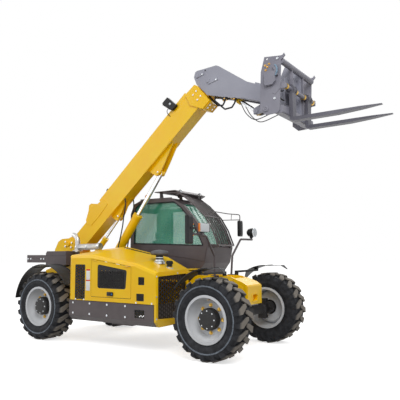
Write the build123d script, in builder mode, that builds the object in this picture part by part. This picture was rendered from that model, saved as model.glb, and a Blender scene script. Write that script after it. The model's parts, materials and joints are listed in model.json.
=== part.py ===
from build123d import *
from math import atan2, cos, hypot, radians, sin
import os

os.makedirs("parts", exist_ok=True)

# Telehandler with a raised boom and pallet forks, in millimetres.
# +X points forward, +Y to the driver's left, +Z up; the origin is on the ground, in the middle of
# the machine's length and width. Side outlines are given as (distance ahead of the rear axle, height).

# ---------------------------------------------------------------- driving dimensions
REAR_AXLE_X = -2335.0
WHEELBASE = 3450.0
AXLE_Z = 570.0

TYRE_R = 570.0
TYRE_WIDTH = 410.0
WHEEL_Y = 907.0
RIM_FLANGE_R = 334.0
KINGPIN_Y = 700.0

BOOM_ANGLE = 40.83
BOOM_PIVOT = (-275.0, 1655.0)
BOOM_HALF_WIDTH = 132.0
BOOM_TOP = 28.0
BOOM_BOTTOM = -284.0
BOOM_FRONT = 3905.0
BOOM_WALL = 12.0
BOSS_Y = 165.0
PIVOT_PIN_R = 46.0
PIVOT_PIN_Y = 215.0

HEAD_PIVOT = (4200.0, 3800.0)
TILT_ARM_PIN = (3741.0, 3653.0)
TILT_BARREL_PIN = (2902.0, 4282.0)

LIFT_BASE = (240.0, 700.0)
LIFT_PIN_ON_BOOM = (2386.5, -420.0)
LIFT_EYE_DROP = 50.0
COMP_BASE = (-100.0, 1060.0)
COMP_PIN_ON_BOOM = (1201.0, -362.0)
COMP_EYE_DROP = 30.0

FRAME_PLATE_Y = 196.0
FRAME_PLATE = 25.0

COVER_OUTER_Y = -1061.0
COVER_INNER_Y = -240.0
COVER_WALL = 5.0

CAB_RIGHT_Y = 200.0
CAB_LEFT_Y = 1040.0
CAB_WALL = 40.0

PIN_GAP = 0.1


# ---------------------------------------------------------------- planes and small helpers
def side(y=0.0):
    """Side view from the right: x runs forward from the rear axle, y is height."""
    return Plane(origin=(REAR_AXLE_X, y, 0), x_dir=(1, 0, 0), z_dir=(0, -1, 0))


def front(x):
    """Front view: x runs to the driver's left, y is height, looking back along the machine."""
    return Plane(origin=(REAR_AXLE_X + x, 0, 0), x_dir=(0, 1, 0), z_dir=(1, 0, 0))


def along_boom(y=0.0):
    """Side view from the right: x runs up the boom from its pivot, y stands square to it."""
    slope = radians(BOOM_ANGLE)
    pivot = (REAR_AXLE_X + BOOM_PIVOT[0], y, BOOM_PIVOT[1])
    return Plane(origin=pivot, x_dir=(cos(slope), 0, sin(slope)), z_dir=(0, -1, 0))


def boom_point(local):
    """Point given along and square to the boom, as (ahead of the rear axle, height)."""
    slope = radians(BOOM_ANGLE)
    x = BOOM_PIVOT[0] + local[0] * cos(slope) - local[1] * sin(slope)
    z = BOOM_PIVOT[1] + local[0] * sin(slope) + local[1] * cos(slope)
    return (x, z)


def toward(start, end):
    """Side-view plane on the centre line, with its x axis from start towards end."""
    angle = atan2(end[1] - start[1], end[0] - start[0])
    origin = (REAR_AXLE_X + start[0], 0, start[1])
    return Plane(origin=origin, x_dir=(cos(angle), 0, sin(angle)), z_dir=(0, -1, 0))


def at(x, y, z):
    """Point given by its distance ahead of the rear axle."""
    return (REAR_AXLE_X + x, y, z)


def box_corners(x0, z0, x1, z1):
    return ((x0, z0), (x0, z1), (x1, z1), (x1, z0))


def slab(points, plane, width, mode=Mode.ADD, corner=0):
    """Plate from the plane to the right by its width; its corners may be rounded."""
    with BuildSketch(plane) as outline:
        with BuildLine():
            Polyline(*points, close=True)
        make_face()
        if corner:
            fillet(outline.vertices(), corner)
    extrude(outline.sketch, amount=width, mode=mode)


def both_sides(points, plane_at, outer_y, width, mode=Mode.ADD, corner=0):
    """The same plate on the right and on the left, its outer faces outer_y from the centre line."""
    for y in (outer_y, width - outer_y):
        slab(points, plane_at(y), width, mode, corner)


def rod(plane, centre, radius, width, mode=Mode.ADD):
    """Round bar across the machine, from the plane to the right by its width."""
    with BuildSketch(plane) as disc:
        with Locations(centre):
            Circle(radius)
    extrude(disc.sketch, amount=width, mode=mode)


def tube_between(start, end, radius, mode=Mode.ADD):
    """Round bar from one point to another, both in the machine's frame."""
    line = Vector(*end) - Vector(*start)
    with BuildSketch(Plane(origin=start, z_dir=line)) as disc:
        Circle(radius)
    extrude(disc.sketch, amount=line.length, mode=mode)


def bent_tube(points, radius, bend):
    """Round bar along straight runs joined by arcs of the given bend radius."""
    with BuildLine() as route:
        FilletPolyline(*points, radius=bend)
    with BuildSketch(Plane(origin=route.line @ 0, z_dir=route.line % 0)) as disc:
        Circle(radius)
    sweep(disc.sketch, path=route.line)


def turned(profile, start, direction):
    """Turned piece: (radius, distance) points spun about the line from start along direction."""
    frame = Plane(origin=start, z_dir=direction)
    with BuildSketch(Plane(origin=start, x_dir=frame.x_dir, z_dir=-frame.y_dir)) as half:
        with BuildLine():
            Polyline(*profile, close=True)
        make_face()
    revolve(half.sketch, axis=Axis(start, direction))


def write(builder, name):
    builder.part.label = name
    export_step(builder.part, f"parts/{name}.step")


# ---------------------------------------------------------------- wheels
LUG_COUNT = 20
HALF_TYRE = TYRE_WIDTH / 2
LUG_FLAT_R = 565.2
LUG_ROOT_R = 500.0
DISC_FACE = 33.0
HUB_CAP_TOP = 140.0

# (radius, distance from the tyre's middle plane) from the inner bead to the crown
CARCASS_HALF = ((301, 148), (338, 167), (402, HALF_TYRE - 2), (482, HALF_TYRE - 8), (528, HALF_TYRE - 46))
# side view of one lug: (radius, distance from the middle plane)
LUG_SIDE = (
    (LUG_ROOT_R, -22), (LUG_FLAT_R, -22), (LUG_FLAT_R, 150), (LUG_FLAT_R - 28, HALF_TYRE - 12),
    (LUG_ROOT_R - 40, HALF_TYRE), (LUG_ROOT_R - 40, 150), (LUG_ROOT_R, 90),
)
# footprint of one lug: (around the tyre, distance from the middle plane)
LUG_OUTLINE = ((-75, HALF_TYRE + 10), (-22, HALF_TYRE + 10), (58, 26), (58, -22), (14, -22), (-75, 128))


def ring_profile(points):
    with BuildSketch(Plane.XZ) as profile:
        with BuildLine():
            Polyline(*points, close=True)
        make_face()
    return profile.sketch


def make_lug():
    """One lug of the outer row, where the tyre's X axis leaves the tread."""
    with BuildPart() as lug:
        with BuildSketch(Plane.YZ.offset(LUG_ROOT_R - 45)) as footprint:
            with BuildLine():
                Polyline(*LUG_OUTLINE, close=True)
            make_face()
        extrude(footprint.sketch, amount=TYRE_R - LUG_ROOT_R + 60)
        with BuildSketch(Plane.XZ.offset(-120)) as side_view:
            with BuildLine():
                Polyline(*LUG_SIDE, close=True)
            make_face()
        extrude(side_view.sketch, amount=240, mode=Mode.INTERSECT)
    return lug.part


def make_tyre():
    """Tyre about Z, its outer side up: a many-sided carcass with two staggered rows of slanted lugs."""
    outer_row = make_lug()
    inner_row = mirror(outer_row, about=Plane.XY)
    sections = [(r, -z) for r, z in CARCASS_HALF] + [(r, z) for r, z in reversed(CARCASS_HALF)]
    with BuildPart() as tyre:
        for radius, height in sections:
            with BuildSketch(Plane.XY.offset(height)):
                RegularPolygon(radius, 2 * LUG_COUNT)
        loft(ruled=True)
        with BuildSketch(Plane.XY.offset(-HALF_TYRE)) as bore:
            RegularPolygon(CARCASS_HALF[0][0], 2 * LUG_COUNT)
        extrude(bore.sketch, amount=TYRE_WIDTH, mode=Mode.SUBTRACT)
        with PolarLocations(0, LUG_COUNT):
            add(outer_row)
        with PolarLocations(0, LUG_COUNT, start_angle=180 / LUG_COUNT):
            add(inner_row)
    return tyre.part


RIM_PROFILE = (
    (118, DISC_FACE), (225, DISC_FACE - 6), (262, DISC_FACE + 20), (290, 120), (299, 160),
    (299, 183), (RIM_FLANGE_R, 183), (RIM_FLANGE_R, 170), (309, 168), (298, 150), (298, -150),
    (309, -168), (RIM_FLANGE_R, -170), (RIM_FLANGE_R, -183), (299, -183), (282, -150),
    (276, 60), (256, 4), (225, -18), (118, -18),
)
HUB_PROFILE = (
    (0, -20), (118, -20), (118, DISC_FACE + 60), (106, HUB_CAP_TOP - 12), (70, HUB_CAP_TOP),
    (0, HUB_CAP_TOP),
)
WHEEL_NUTS = 8
NUT_CIRCLE_R = 160.0


def make_rim():
    """Deep dished rim about Z, its outer side up, with planetary hub cap and wheel nuts."""
    with BuildPart() as rim:
        revolve(ring_profile(RIM_PROFILE), axis=Axis.Z)
        revolve(ring_profile(HUB_PROFILE), axis=Axis.Z)
        with BuildSketch(Plane.XY.offset(DISC_FACE - 12)):
            with PolarLocations(NUT_CIRCLE_R, WHEEL_NUTS, start_angle=22.5):
                RegularPolygon(17, 6)
        extrude(amount=30)
    return rim.part


KINGPIN_R = 44.0
KINGPIN_HALF = 118.0
HUB_R = 100.0
# steering arm in plan: (along the machine, outward from the wheel's middle)
STEERING_ARM = ((60, -185), (60, -222), (175, -262), (185, -235), (90, -170))


def make_knuckle():
    """Hub carrier about Z (the wheel's axle), its outer end up; the kingpin runs along local Y."""
    hub_start = KINGPIN_Y - WHEEL_Y - 22
    with BuildPart() as knuckle:
        with BuildSketch(Plane.XY.offset(hub_start)) as hub:
            Circle(HUB_R)
        extrude(hub.sketch, amount=-hub_start - 22)
        with BuildSketch(Plane.XZ.offset(-KINGPIN_HALF)) as pins:
            with Locations((0, KINGPIN_Y - WHEEL_Y)):
                Circle(KINGPIN_R)
        extrude(pins.sketch, amount=2 * KINGPIN_HALF)
        with BuildSketch(Plane.XZ.offset(-20)) as arm:
            with BuildLine():
                Polyline(*STEERING_ARM, close=True)
            make_face()
        extrude(arm.sketch, amount=40)
    return knuckle.part


TYRE = make_tyre()
RIM = make_rim()
KNUCKLE = make_knuckle()

# name, axle's distance ahead of the rear axle, side (-1 right, +1 left)
WHEELS = (
    ("rear_right", 0.0, -1),
    ("rear_left", 0.0, 1),
    ("front_right", WHEELBASE, -1),
    ("front_left", WHEELBASE, 1),
)


def wheel_spot(axle_x, y):
    """Wheel centre, its local Z pointing to the right."""
    return Plane(origin=at(axle_x, y, AXLE_Z), x_dir=(1, 0, 0), z_dir=(0, -1, 0)).location


for wheel, axle_x, hand in WHEELS:
    # the two rows of lugs mirror each other, so a turn of half a step gives the left-hand tyre
    turn = Rotation(0, 0, 180 / LUG_COUNT if hand > 0 else 0)
    with BuildPart() as wheel_tyre:
        add(wheel_spot(axle_x, hand * WHEEL_Y) * turn * TYRE)
    write(wheel_tyre, f"{wheel}_tyre")
    for kind, shape in (("rim", RIM), ("knuckle", KNUCKLE)):
        placed = wheel_spot(axle_x, -WHEEL_Y) * shape
        with BuildPart() as piece:
            add(mirror(placed, about=Plane.XZ) if hand > 0 else placed)
        write(piece, f"{wheel}_{kind}")

# ---------------------------------------------------------------- axle beams
# half beam: (distance from the centre line, -radius)
AXLE_PROFILE = (
    (0, -150), (60, -140), (130, -95), (170, -80), (560, -70), (580, -82), (605, -82), (605, -70),
    (620, -70),
    (620, 0), (0, 0),
)
YOKE_EAR_Z = 139.0
YOKE_EAR_HALF = 16.0


def make_axle(axle_x):
    """Beam with a differential bulb in the middle and an open yoke at each end."""
    with BuildPart() as axle:
        centre_line = Plane(origin=at(axle_x, 0, AXLE_Z), x_dir=(0, 1, 0), z_dir=(1, 0, 0))
        with BuildSketch(centre_line) as profile:
            with BuildLine():
                Polyline(*AXLE_PROFILE, close=True)
            make_face()
            mirror(about=Plane.YZ)
        revolve(profile.sketch, axis=Axis(at(axle_x, 0, AXLE_Z), (0, 1, 0)))
        for hand in (-1, 1):
            for up in (-1, 1):
                with BuildSketch(Plane.XY.offset(AXLE_Z + up * YOKE_EAR_Z)) as ear:
                    with Locations((REAR_AXLE_X + axle_x, hand * KINGPIN_Y)):
                        Circle(52)
                    with Locations((REAR_AXLE_X + axle_x, hand * 645)):
                        Rectangle(104, 110)
                extrude(ear.sketch, amount=YOKE_EAR_HALF, both=True)
            with BuildSketch(Plane.XY.offset(AXLE_Z)) as root:
                with Locations((REAR_AXLE_X + axle_x, hand * 605)):
                    Rectangle(130, 30)
            extrude(root.sketch, amount=YOKE_EAR_Z + YOKE_EAR_HALF, both=True)
    return axle


write(make_axle(0), "rear_axle_beam")
write(make_axle(WHEELBASE), "front_axle_beam")

# ---------------------------------------------------------------- chassis
FRAME_OUTLINE = (
    (-905, 600), (-905, 1150), (-653, 1220), (-653, 1546), (-560, 1700), (-456, 1754), (-152, 1767),
    (-107, 1729),
    (-80, 1528), (120, 1180), (420, 1010), (2560, 1010), (2700, 1120), (3250, 1120), (3335, 1108),
    (3400, 1080), (3400, 760), (3150, 700), (3020, 480), (2900, 420), (560, 420), (430, 480),
    (330, 740), (-330, 740), (-480, 600),
)
# cross plates between the side plates: (rear face, bottom, thickness, height)
CROSS_PLATES = (
    (-880, 620, 30, 520), (-500, 780, 30, 160), (430, 440, 24, 180), (1300, 440, 24, 300),
    (2200, 440, 24, 300), (2880, 480, 24, 380), (3100, 800, 24, 290),
)
CLEVIS_Y = 90.0
CLEVIS = 25.0
LIFT_CLEVIS = ((185, 640), (165, 760), (250, 790), (320, 750), (440, 610), (440, 560), (300, 600))
COMP_CLEVIS = ((-190, 980), (-180, 1100), (-60, 1130), (-20, 1060), (10, 980))
PIVOT_BOLTS = ((-342, 1697), (-167, 1676), (-344, 1610), (-180, 1590))

with BuildPart() as chassis_frame:
    both_sides(FRAME_OUTLINE, side, FRAME_PLATE_Y, FRAME_PLATE)
    for x, z, thick, high in CROSS_PLATES:
        slab(box_corners(x, z, x + thick, z + high), side(FRAME_PLATE_Y), 2 * FRAME_PLATE_Y)
    slab(box_corners(430, 428, 2900, 440), side(FRAME_PLATE_Y), 2 * FRAME_PLATE_Y)
    slab(box_corners(-260, 972, 60, 990), side(FRAME_PLATE_Y), 2 * FRAME_PLATE_Y)
    both_sides(LIFT_CLEVIS, side, CLEVIS_Y + CLEVIS, CLEVIS)
    both_sides(COMP_CLEVIS, side, CLEVIS_Y + CLEVIS, CLEVIS)
    for spot in PIVOT_BOLTS:
        rod(side(-FRAME_PLATE_Y), spot, 17, 12)
    rod(side(FRAME_PLATE_Y), BOOM_PIVOT, PIVOT_PIN_R + PIN_GAP, 2 * FRAME_PLATE_Y, mode=Mode.SUBTRACT)
write(chassis_frame, "chassis_frame")

TOW_PIN_X = -955.0
TOW_PIN_R = 17.0
TOW_JAW_Z = (640.0, 720.0)
TOW_PLATE = 22.0
with BuildPart() as tow_jaw:
    for z in TOW_JAW_Z:
        with BuildSketch(Plane.XY.offset(z)) as jaw:
            with BuildLine():
                Polyline(at(-905, 70, 0)[:2], at(-905, -70, 0)[:2], at(-970, -45, 0)[:2],
                    at(-1000, -20, 0)[:2],
                         at(-1000, 20, 0)[:2], at(-970, 45, 0)[:2], close=True)
            make_face()
            with Locations((REAR_AXLE_X + TOW_PIN_X, 0)):
                Circle(TOW_PIN_R, mode=Mode.SUBTRACT)
        extrude(jaw.sketch, amount=TOW_PLATE)
write(tow_jaw, "tow_jaw")

NOSE_HALF = 225.0
NOSE_OUTLINE = (
    (3400, 760), (3400, 1087), (3560, 1030), (3622, 992), (3640, 972), (3640, 700), (3570, 700), (3530, 760),
)
NOSE_RIB = ((3606, 760), (3606, 975), (3632, 962), (3632, 740))
with BuildPart() as front_nose:
    slab(NOSE_OUTLINE, side(NOSE_HALF), 2 * NOSE_HALF)
    both_sides(NOSE_RIB, side, NOSE_HALF + 9, 9, corner=6)
    both_sides(((3450, 800), (3450, 1000), (3560, 965), (3560, 800)), side, NOSE_HALF + 5, 5, corner=30)
    with BuildSketch(front(3640)) as tow_pocket:
        with Locations((0, 800)):
            RectangleRounded(150, 90, 20)
    extrude(tow_pocket.sketch, amount=-60, mode=Mode.SUBTRACT)
    with BuildSketch(front(3640)) as rim_of_pocket:
        with Locations((0, 800)):
            RectangleRounded(190, 130, 30)
            RectangleRounded(150, 90, 20, mode=Mode.SUBTRACT)
    extrude(rim_of_pocket.sketch, amount=8)
write(front_nose, "front_nose")

REAR_BOX = ((-473, 1262), (-473, 1480), (-440, 1517), (83, 1517), (83, 1262))
with BuildPart() as rear_box:
    slab(REAR_BOX, side(-230), 330)
    slab(((-466, 1440), (-466, 1474), (-434, 1510), (76, 1510), (76, 1440)), side(-560), 5)
    slab(box_corners(-1019, 1303, -473, 1446), side(-544), 16)
    for x in (-980, -900, -600, -520):
        rod(side(-560), (x, 1375), 11, 6)
write(rear_box, "rear_box")

# ---------------------------------------------------------------- engine and cover
with BuildPart() as engine_block:
    slab(box_corners(900, 640, 1750, 1000), side(-380), 380, corner=30)
    slab(box_corners(1000, 560, 1650, 650), side(-420), 300, corner=20)
    slab(box_corners(960, 990, 1690, 1130), side(-430), 280, corner=25)
    for i in range(4):
        slab(box_corners(1010 + i * 170, 1125, 1140 + i * 170, 1175), side(-450), 240, corner=15)
    slab(box_corners(1850, 560, 1960, 1180), side(-300), 640)
    for x in (1765, 1800):
        rod(Plane(origin=at(x, -570, 860), x_dir=(0, 1, 0), z_dir=(1, 0, 0)), (0, 0), 150, 22)
    rod(side(-FRAME_PLATE_Y), (1300, 760), 90, 190)
    slab(box_corners(1745, 820, 1855, 900), side(-520), 100)
write(engine_block, "engine_block")

COVER_REAR = 736.0
COVER_SEAM = 2173.0
COVER_FRONT = 2580.0
COVER_BOTTOM = 721.0
COVER_BEND = 1240.0
# sideways position, height of the cover's top at its rear, first bend, seam and front
COVER_TOP = (
    (COVER_OUTER_Y, 1440.0, 1446.0, 1316.0, 1192.0),
    (COVER_INNER_Y, 1545.0, 1590.0, 1405.0, 1215.0),
)
# how far the outline draws in towards the cover's rounded outer side: (y, inset)
COVER_ROUND = ((COVER_OUTER_Y, 45.0), (COVER_OUTER_Y + 14, 14.0), (COVER_OUTER_Y + 45, 0.0),
    (COVER_INNER_Y, 0.0))


def cover_heights(y):
    """Heights of the cover's top at this sideways position, rear to front."""
    share = (y - COVER_OUTER_Y) / (COVER_INNER_Y - COVER_OUTER_Y)
    outer, inner = COVER_TOP
    return [a + (b - a) * share for a, b in zip(outer[1:], inner[1:])]


def cover_body(first, last, wall):
    """Closed body of the cover between two stations, drawn in by a wall thickness."""
    stations = (COVER_REAR, COVER_BEND, COVER_SEAM, COVER_FRONT)
    with BuildPart() as body:
        for y, inset in COVER_ROUND:
            if y == COVER_OUTER_Y:
                y += wall
            heights = cover_heights(y)
            tops = [(x, z - inset - wall) for x, z in zip(stations, heights) if first <= x <= last]
            low_x, low_z = tops[0]
            high_x, high_z = tops[-1]
            rear_inset = inset + wall if first == COVER_REAR else 0
            front_inset = inset * 0.6 + wall if last == COVER_FRONT else 0
            points = [(low_x + rear_inset, COVER_BOTTOM), (low_x + rear_inset, low_z)]
            points += tops[1:-1]
            points += [(high_x - front_inset, high_z), (high_x - front_inset, COVER_BOTTOM)]
            with BuildSketch(side(y)):
                with BuildLine():
                    Polyline(*points, close=True)
                make_face()
        loft(ruled=True)
    return body.part


DOOR_REAR = 1250.0
DOOR_FRONT = 2090.0
DOOR_BOTTOM = 790.0
DOOR_GAP = 6.0


def door_top(x):
    """Height of the side door's sloping top edge."""
    return 1380.0 - (x - DOOR_REAR) * 0.137


def door_outline(grow):
    return (
        (DOOR_REAR - grow, DOOR_BOTTOM - grow), (DOOR_REAR - grow, door_top(DOOR_REAR) + grow),
        (DOOR_FRONT + grow, door_top(DOOR_FRONT) + grow), (DOOR_FRONT + grow, DOOR_BOTTOM - grow),
    )


DOOR_WINDOW = ((1388, 925), (1388, 1302), (2010, 1214), (1985, 925))
REAR_VENT = box_corners(876, 735, 1110, 1295)
SQUARE_VENTS = (box_corners(2200, 762, 2350, 872), box_corners(2236, 1000, 2356, 1118))
SKIRT_VENT = box_corners(2162, 512, 2355, 631)
# front opening and the sheet behind it: (sideways position, height)
FRONT_OPENING = ((-1010, 1128), (-1010, 510), (-290, 470), (-290, 1150))
FRONT_SHEET = ((-1025, 1142), (-1025, 496), (-272, 456), (-272, 1165))
TOP_SLOT_Y = (-338.0, -272.0)
TOP_SLOT_X = (1262.0, 1863.0)


def top_slot(grow, low, high):
    """Upright block over the long air slot in the cover's top."""
    slab(
        box_corners(TOP_SLOT_X[0] - grow, low, TOP_SLOT_X[1] + grow, high),
        side(TOP_SLOT_Y[1] + grow), TOP_SLOT_Y[1] - TOP_SLOT_Y[0] + 2 * grow, mode=Mode.SUBTRACT)


with BuildPart() as engine_cover:
    add(cover_body(COVER_REAR, COVER_SEAM, 0))
    add(cover_body(COVER_REAR, COVER_SEAM, COVER_WALL), mode=Mode.SUBTRACT)
    slab(door_outline(DOOR_GAP), side(COVER_OUTER_Y + 60), 120, mode=Mode.SUBTRACT, corner=24)
    slab(REAR_VENT, side(COVER_OUTER_Y + 60), 120, mode=Mode.SUBTRACT, corner=16)
    top_slot(0, 1380, 1640)
write(engine_cover, "engine_cover")

with BuildPart() as front_cover:
    add(cover_body(COVER_SEAM, COVER_FRONT, 0))
    add(cover_body(COVER_SEAM, COVER_FRONT, COVER_WALL), mode=Mode.SUBTRACT)
    with BuildSketch(front(COVER_FRONT)) as lower_frame:
        with BuildLine():
            Polyline((COVER_OUTER_Y + 6, 740), (COVER_OUTER_Y + 6, 470), (-985, 392), (COVER_INNER_Y, 392),
                     (COVER_INNER_Y, 740), close=True)
        make_face()
    extrude(lower_frame.sketch, amount=-40)
    with BuildSketch(front(COVER_FRONT)) as front_opening:
        with BuildLine():
            Polyline(*FRONT_OPENING, close=True)
        make_face()
        fillet(front_opening.vertices(), 18)
    extrude(front_opening.sketch, amount=-60, mode=Mode.SUBTRACT)
    for vent in SQUARE_VENTS:
        slab(vent, side(COVER_OUTER_Y + 60), 120, mode=Mode.SUBTRACT, corner=10)
    with Locations(at(2478, -600, 1290)):
        Cylinder(40, 110)
write(front_cover, "front_cover")

HINGE_R = 7.0
HINGE_DROP = 8.0
HINGE_LINE_Y = COVER_OUTER_Y - HINGE_R
with BuildPart() as engine_door:
    slab(door_outline(0), side(COVER_OUTER_Y + COVER_WALL), COVER_WALL, corner=20)
    slab(DOOR_WINDOW, side(COVER_OUTER_Y + 60), 120, mode=Mode.SUBTRACT, corner=38)
    for x in (1290, 1960):
        low = door_top(x) - HINGE_DROP
        tube_between(
            at(x, HINGE_LINE_Y, low), at(x + 90, HINGE_LINE_Y, door_top(x + 90) - HINGE_DROP), HINGE_R)
    slab(box_corners(1640, 832, 1704, 866), side(COVER_OUTER_Y), 9, corner=10)
write(engine_door, "engine_door")

MESH_SHEET = 4.0


def perforated(outline_points, plane, pitch, hole_r, columns, rows, centre):
    """Sheet with staggered rows of six-sided holes about its centre."""
    with BuildSketch(plane) as sheet:
        with BuildLine():
            Polyline(*outline_points, close=True)
        make_face()
        with Locations(centre):
            with HexLocations(pitch / 2, columns, rows):
                RegularPolygon(hole_r, 6, mode=Mode.SUBTRACT)
    extrude(sheet.sketch, amount=MESH_SHEET)


with BuildPart() as door_mesh:
    perforated(
        ((1370, 905), (1370, 1322), (2030, 1230), (2005, 905)), side(COVER_OUTER_Y + COVER_WALL + 4),
        44, 17, 14, 6, (1690, 1070))
write(door_mesh, "door_mesh")

SKIRT_INNER_Y = COVER_OUTER_Y + 12
with BuildPart() as cover_grilles:
    behind_wall = COVER_OUTER_Y + COVER_WALL + 4
    perforated(box_corners(860, 726, 1128, 1311), side(behind_wall), 44, 17, 5, 12, (994, 1018))
    slab(box_corners(880, 1002, 1106, 1022), side(behind_wall - MESH_SHEET), 3)
    perforated(box_corners(2148, 500, 2369, 643), side(SKIRT_INNER_Y + 4), 30, 11, 7, 4, (2258, 571))
    for vent in SQUARE_VENTS:
        (x0, z0), top_corner, (x1, z1), low_corner = vent
        middle = ((x0 + x1) / 2, (z0 + z1) / 2)
        perforated(box_corners(x0 - 14, z0 - 14, x1 + 14, z1 + 14), side(behind_wall), 30, 11, 4, 3, middle)
write(cover_grilles, "cover_grilles")

with BuildPart() as top_grille:
    add(cover_body(COVER_REAR, COVER_SEAM, COVER_WALL))
    add(cover_body(COVER_REAR, COVER_SEAM, COVER_WALL + 4), mode=Mode.SUBTRACT)
    with Locations(at((TOP_SLOT_X[0] + TOP_SLOT_X[1]) / 2, sum(TOP_SLOT_Y) / 2, 1500)):
        Box(TOP_SLOT_X[1] - TOP_SLOT_X[0] + 40, 96, 300, mode=Mode.INTERSECT)
    for i in range(11):
        x = TOP_SLOT_X[0] + 30 + i * 52
        slab(box_corners(x, 1380, x + 22, 1640), side(TOP_SLOT_Y[1] - 8), 50, mode=Mode.SUBTRACT)
write(top_grille, "top_grille")

SKIRT_FRONT = 2530.0
# cross-section of the skirt: (sideways position, height)
SKIRT_SECTION = ((COVER_OUTER_Y + 6, 715), (COVER_OUTER_Y + 6, 470), (-985, 392), (-240, 392), (-240, 715))
SKIRT_HOLLOW = ((COVER_OUTER_Y + 12, 720), (COVER_OUTER_Y + 12, 473), (-982, 398), (-200, 398), (-200, 720))
with BuildPart() as side_skirt:
    with BuildSketch(front(COVER_REAR + 4)) as skirt_section:
        with BuildLine():
            Polyline(*SKIRT_SECTION, close=True)
        make_face()
    extrude(skirt_section.sketch, amount=SKIRT_FRONT - COVER_REAR - 4)
    with BuildSketch(front(COVER_REAR + 10)) as skirt_hollow:
        with BuildLine():
            Polyline(*SKIRT_HOLLOW, close=True)
        make_face()
    extrude(skirt_hollow.sketch, amount=SKIRT_FRONT - COVER_REAR - 16, mode=Mode.SUBTRACT)
    slab(SKIRT_VENT, side(COVER_OUTER_Y + 60), 120, mode=Mode.SUBTRACT, corner=8)
    for i in range(4):
        for z in (676, 512):
            rod(side(COVER_OUTER_Y + 6), (840 + i * 380, z), 11, 5)
    slab(box_corners(1612, 370, 2039, 392), side(-760), 200)
    slab(((COVER_REAR + 4, 715), (COVER_REAR + 4, 600), (COVER_REAR - 26, 600), (COVER_REAR - 26, 715)),
         side(-500), 500)
write(side_skirt, "side_skirt")

with BuildPart() as front_screen:
    with BuildSketch(front(COVER_FRONT - 40)) as screen:
        with BuildLine():
            Polyline(*FRONT_SHEET, close=True)
        make_face()
        with Locations((-650, 815)):
            with HexLocations(30, 11, 11):
                RegularPolygon(22, 6, mode=Mode.SUBTRACT)
    extrude(screen.sketch, amount=-5)
write(front_screen, "front_screen")

CORRUGATIONS = 18
EXHAUST_Y = -400.0
with BuildPart() as exhaust:
    ripple = 560 / CORRUGATIONS
    crests = [(r, i * ripple / 2) for i in range(2 * CORRUGATIONS + 1) for r in (48 + 8 * (i % 2),)]
    turned([(0, 0)] + crests + [(0, 560)], at(200, EXHAUST_Y, 1586), (1, 0, 0.02))
    with BuildLine(side(EXHAUST_Y)) as stack_line:
        upright = Line((205, 1560), (205, 1690))
        TangentArc(upright @ 1, (88, 1812), tangent=upright % 1)
    with BuildSketch(Plane(origin=at(205, EXHAUST_Y, 1560), z_dir=(0, 0, 1))) as pipe:
        Circle(45)
    sweep(pipe.sketch, path=stack_line.line)
    tube_between(at(205, EXHAUST_Y, 1500), at(205, EXHAUST_Y, 1600), 52)
    tube_between(at(205, EXHAUST_Y, 1517), at(205, EXHAUST_Y, 1530), 90)
    tube_between(at(740, EXHAUST_Y, 1597), at(790, EXHAUST_Y, 1598), 58)
write(exhaust, "exhaust")

PRE_CLEANER_SPOT = (2278.0, -600.0)
# (radius, height) from the base flange to the top of the rain cap
PRE_CLEANER_PROFILE = (
    (0, 1310), (88, 1310), (88, 1345), (66, 1352), (64, 1385), (60, 1388), (60, 1440), (120, 1446),
    (143, 1466),
    (143, 1478), (128, 1500), (84, 1520), (0, 1528),
)
FILLER_PROFILE = ((0, 0), (52, 0), (52, 12), (42, 14), (42, 50), (34, 56), (0, 56))
with BuildPart() as pre_cleaner:
    turned(PRE_CLEANER_PROFILE, at(*PRE_CLEANER_SPOT, 0), (0, 0, 1))
    add(cover_body(COVER_SEAM, COVER_FRONT, 0), mode=Mode.SUBTRACT)
write(pre_cleaner, "pre_cleaner")

# ---------------------------------------------------------------- fenders
REAR_FENDER_R = 706.0
FRONT_FENDER_R = 684.0
FENDER_SHEET = 5.0
FENDER_BEAD = 14.0
FENDER_INNER_Y = 720.0
FENDER_OUTER_Y = 1030.0
# flat front end of a front fender's sheet
FENDER_FLAT = ((3450, 1254), (3450, 1259), (3660, 1262), (3726, 1196), (3722, 1192), (3658, 1257))
# corners cut off a front fender in plan: (ahead of the rear axle, distance from the centre line)
FENDER_CORNERS = (
    ((2850, 700), (3111, 700), (2895, 1010), (2850, 1010)),
    ((3541, 700), (3760, 700), (3760, 1010), (3729, 1010)),
)
REAR_ARM = box_corners(-300, 1225, -240, 1250)
FRONT_ARM = box_corners(3190, 1160, 3250, 1190)


def arc_strip(axle_x, inner_r, outer_r, first, last, y, width):
    """Strip curved about an axle, from the first to the last angle, counted up from straight ahead."""
    with BuildSketch(side(y)) as arc:
        with BuildLine():
            inner = CenterArc((axle_x, AXLE_Z), inner_r, first, last - first)
            outer = CenterArc((axle_x, AXLE_Z), outer_r, first, last - first)
            Line(inner @ 0, outer @ 0)
            Line(inner @ 1, outer @ 1)
        make_face()
    extrude(arc.sketch, amount=width)


def fender(axle_x, radius, first, last, hand):
    """Curved sheet over a wheel with a bead along both edges."""
    left_edge = max(hand * FENDER_INNER_Y, hand * FENDER_OUTER_Y)
    right_edge = min(hand * FENDER_INNER_Y, hand * FENDER_OUTER_Y)
    arc_strip(axle_x, radius, radius + FENDER_SHEET, first, last, left_edge, left_edge - right_edge)
    arc_strip(axle_x, radius, radius + FENDER_BEAD, first, last, left_edge, 8)
    arc_strip(axle_x, radius, radius + FENDER_BEAD, first, last, right_edge + 8, 8)


with BuildPart() as rear_fenders:
    for hand in (-1, 1):
        fender(0, REAR_FENDER_R, 33, 171, hand)
    both_sides(REAR_ARM, side, FENDER_OUTER_Y - 30, FENDER_OUTER_Y - 30 - FRAME_PLATE_Y)
write(rear_fenders, "rear_fenders")

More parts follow.
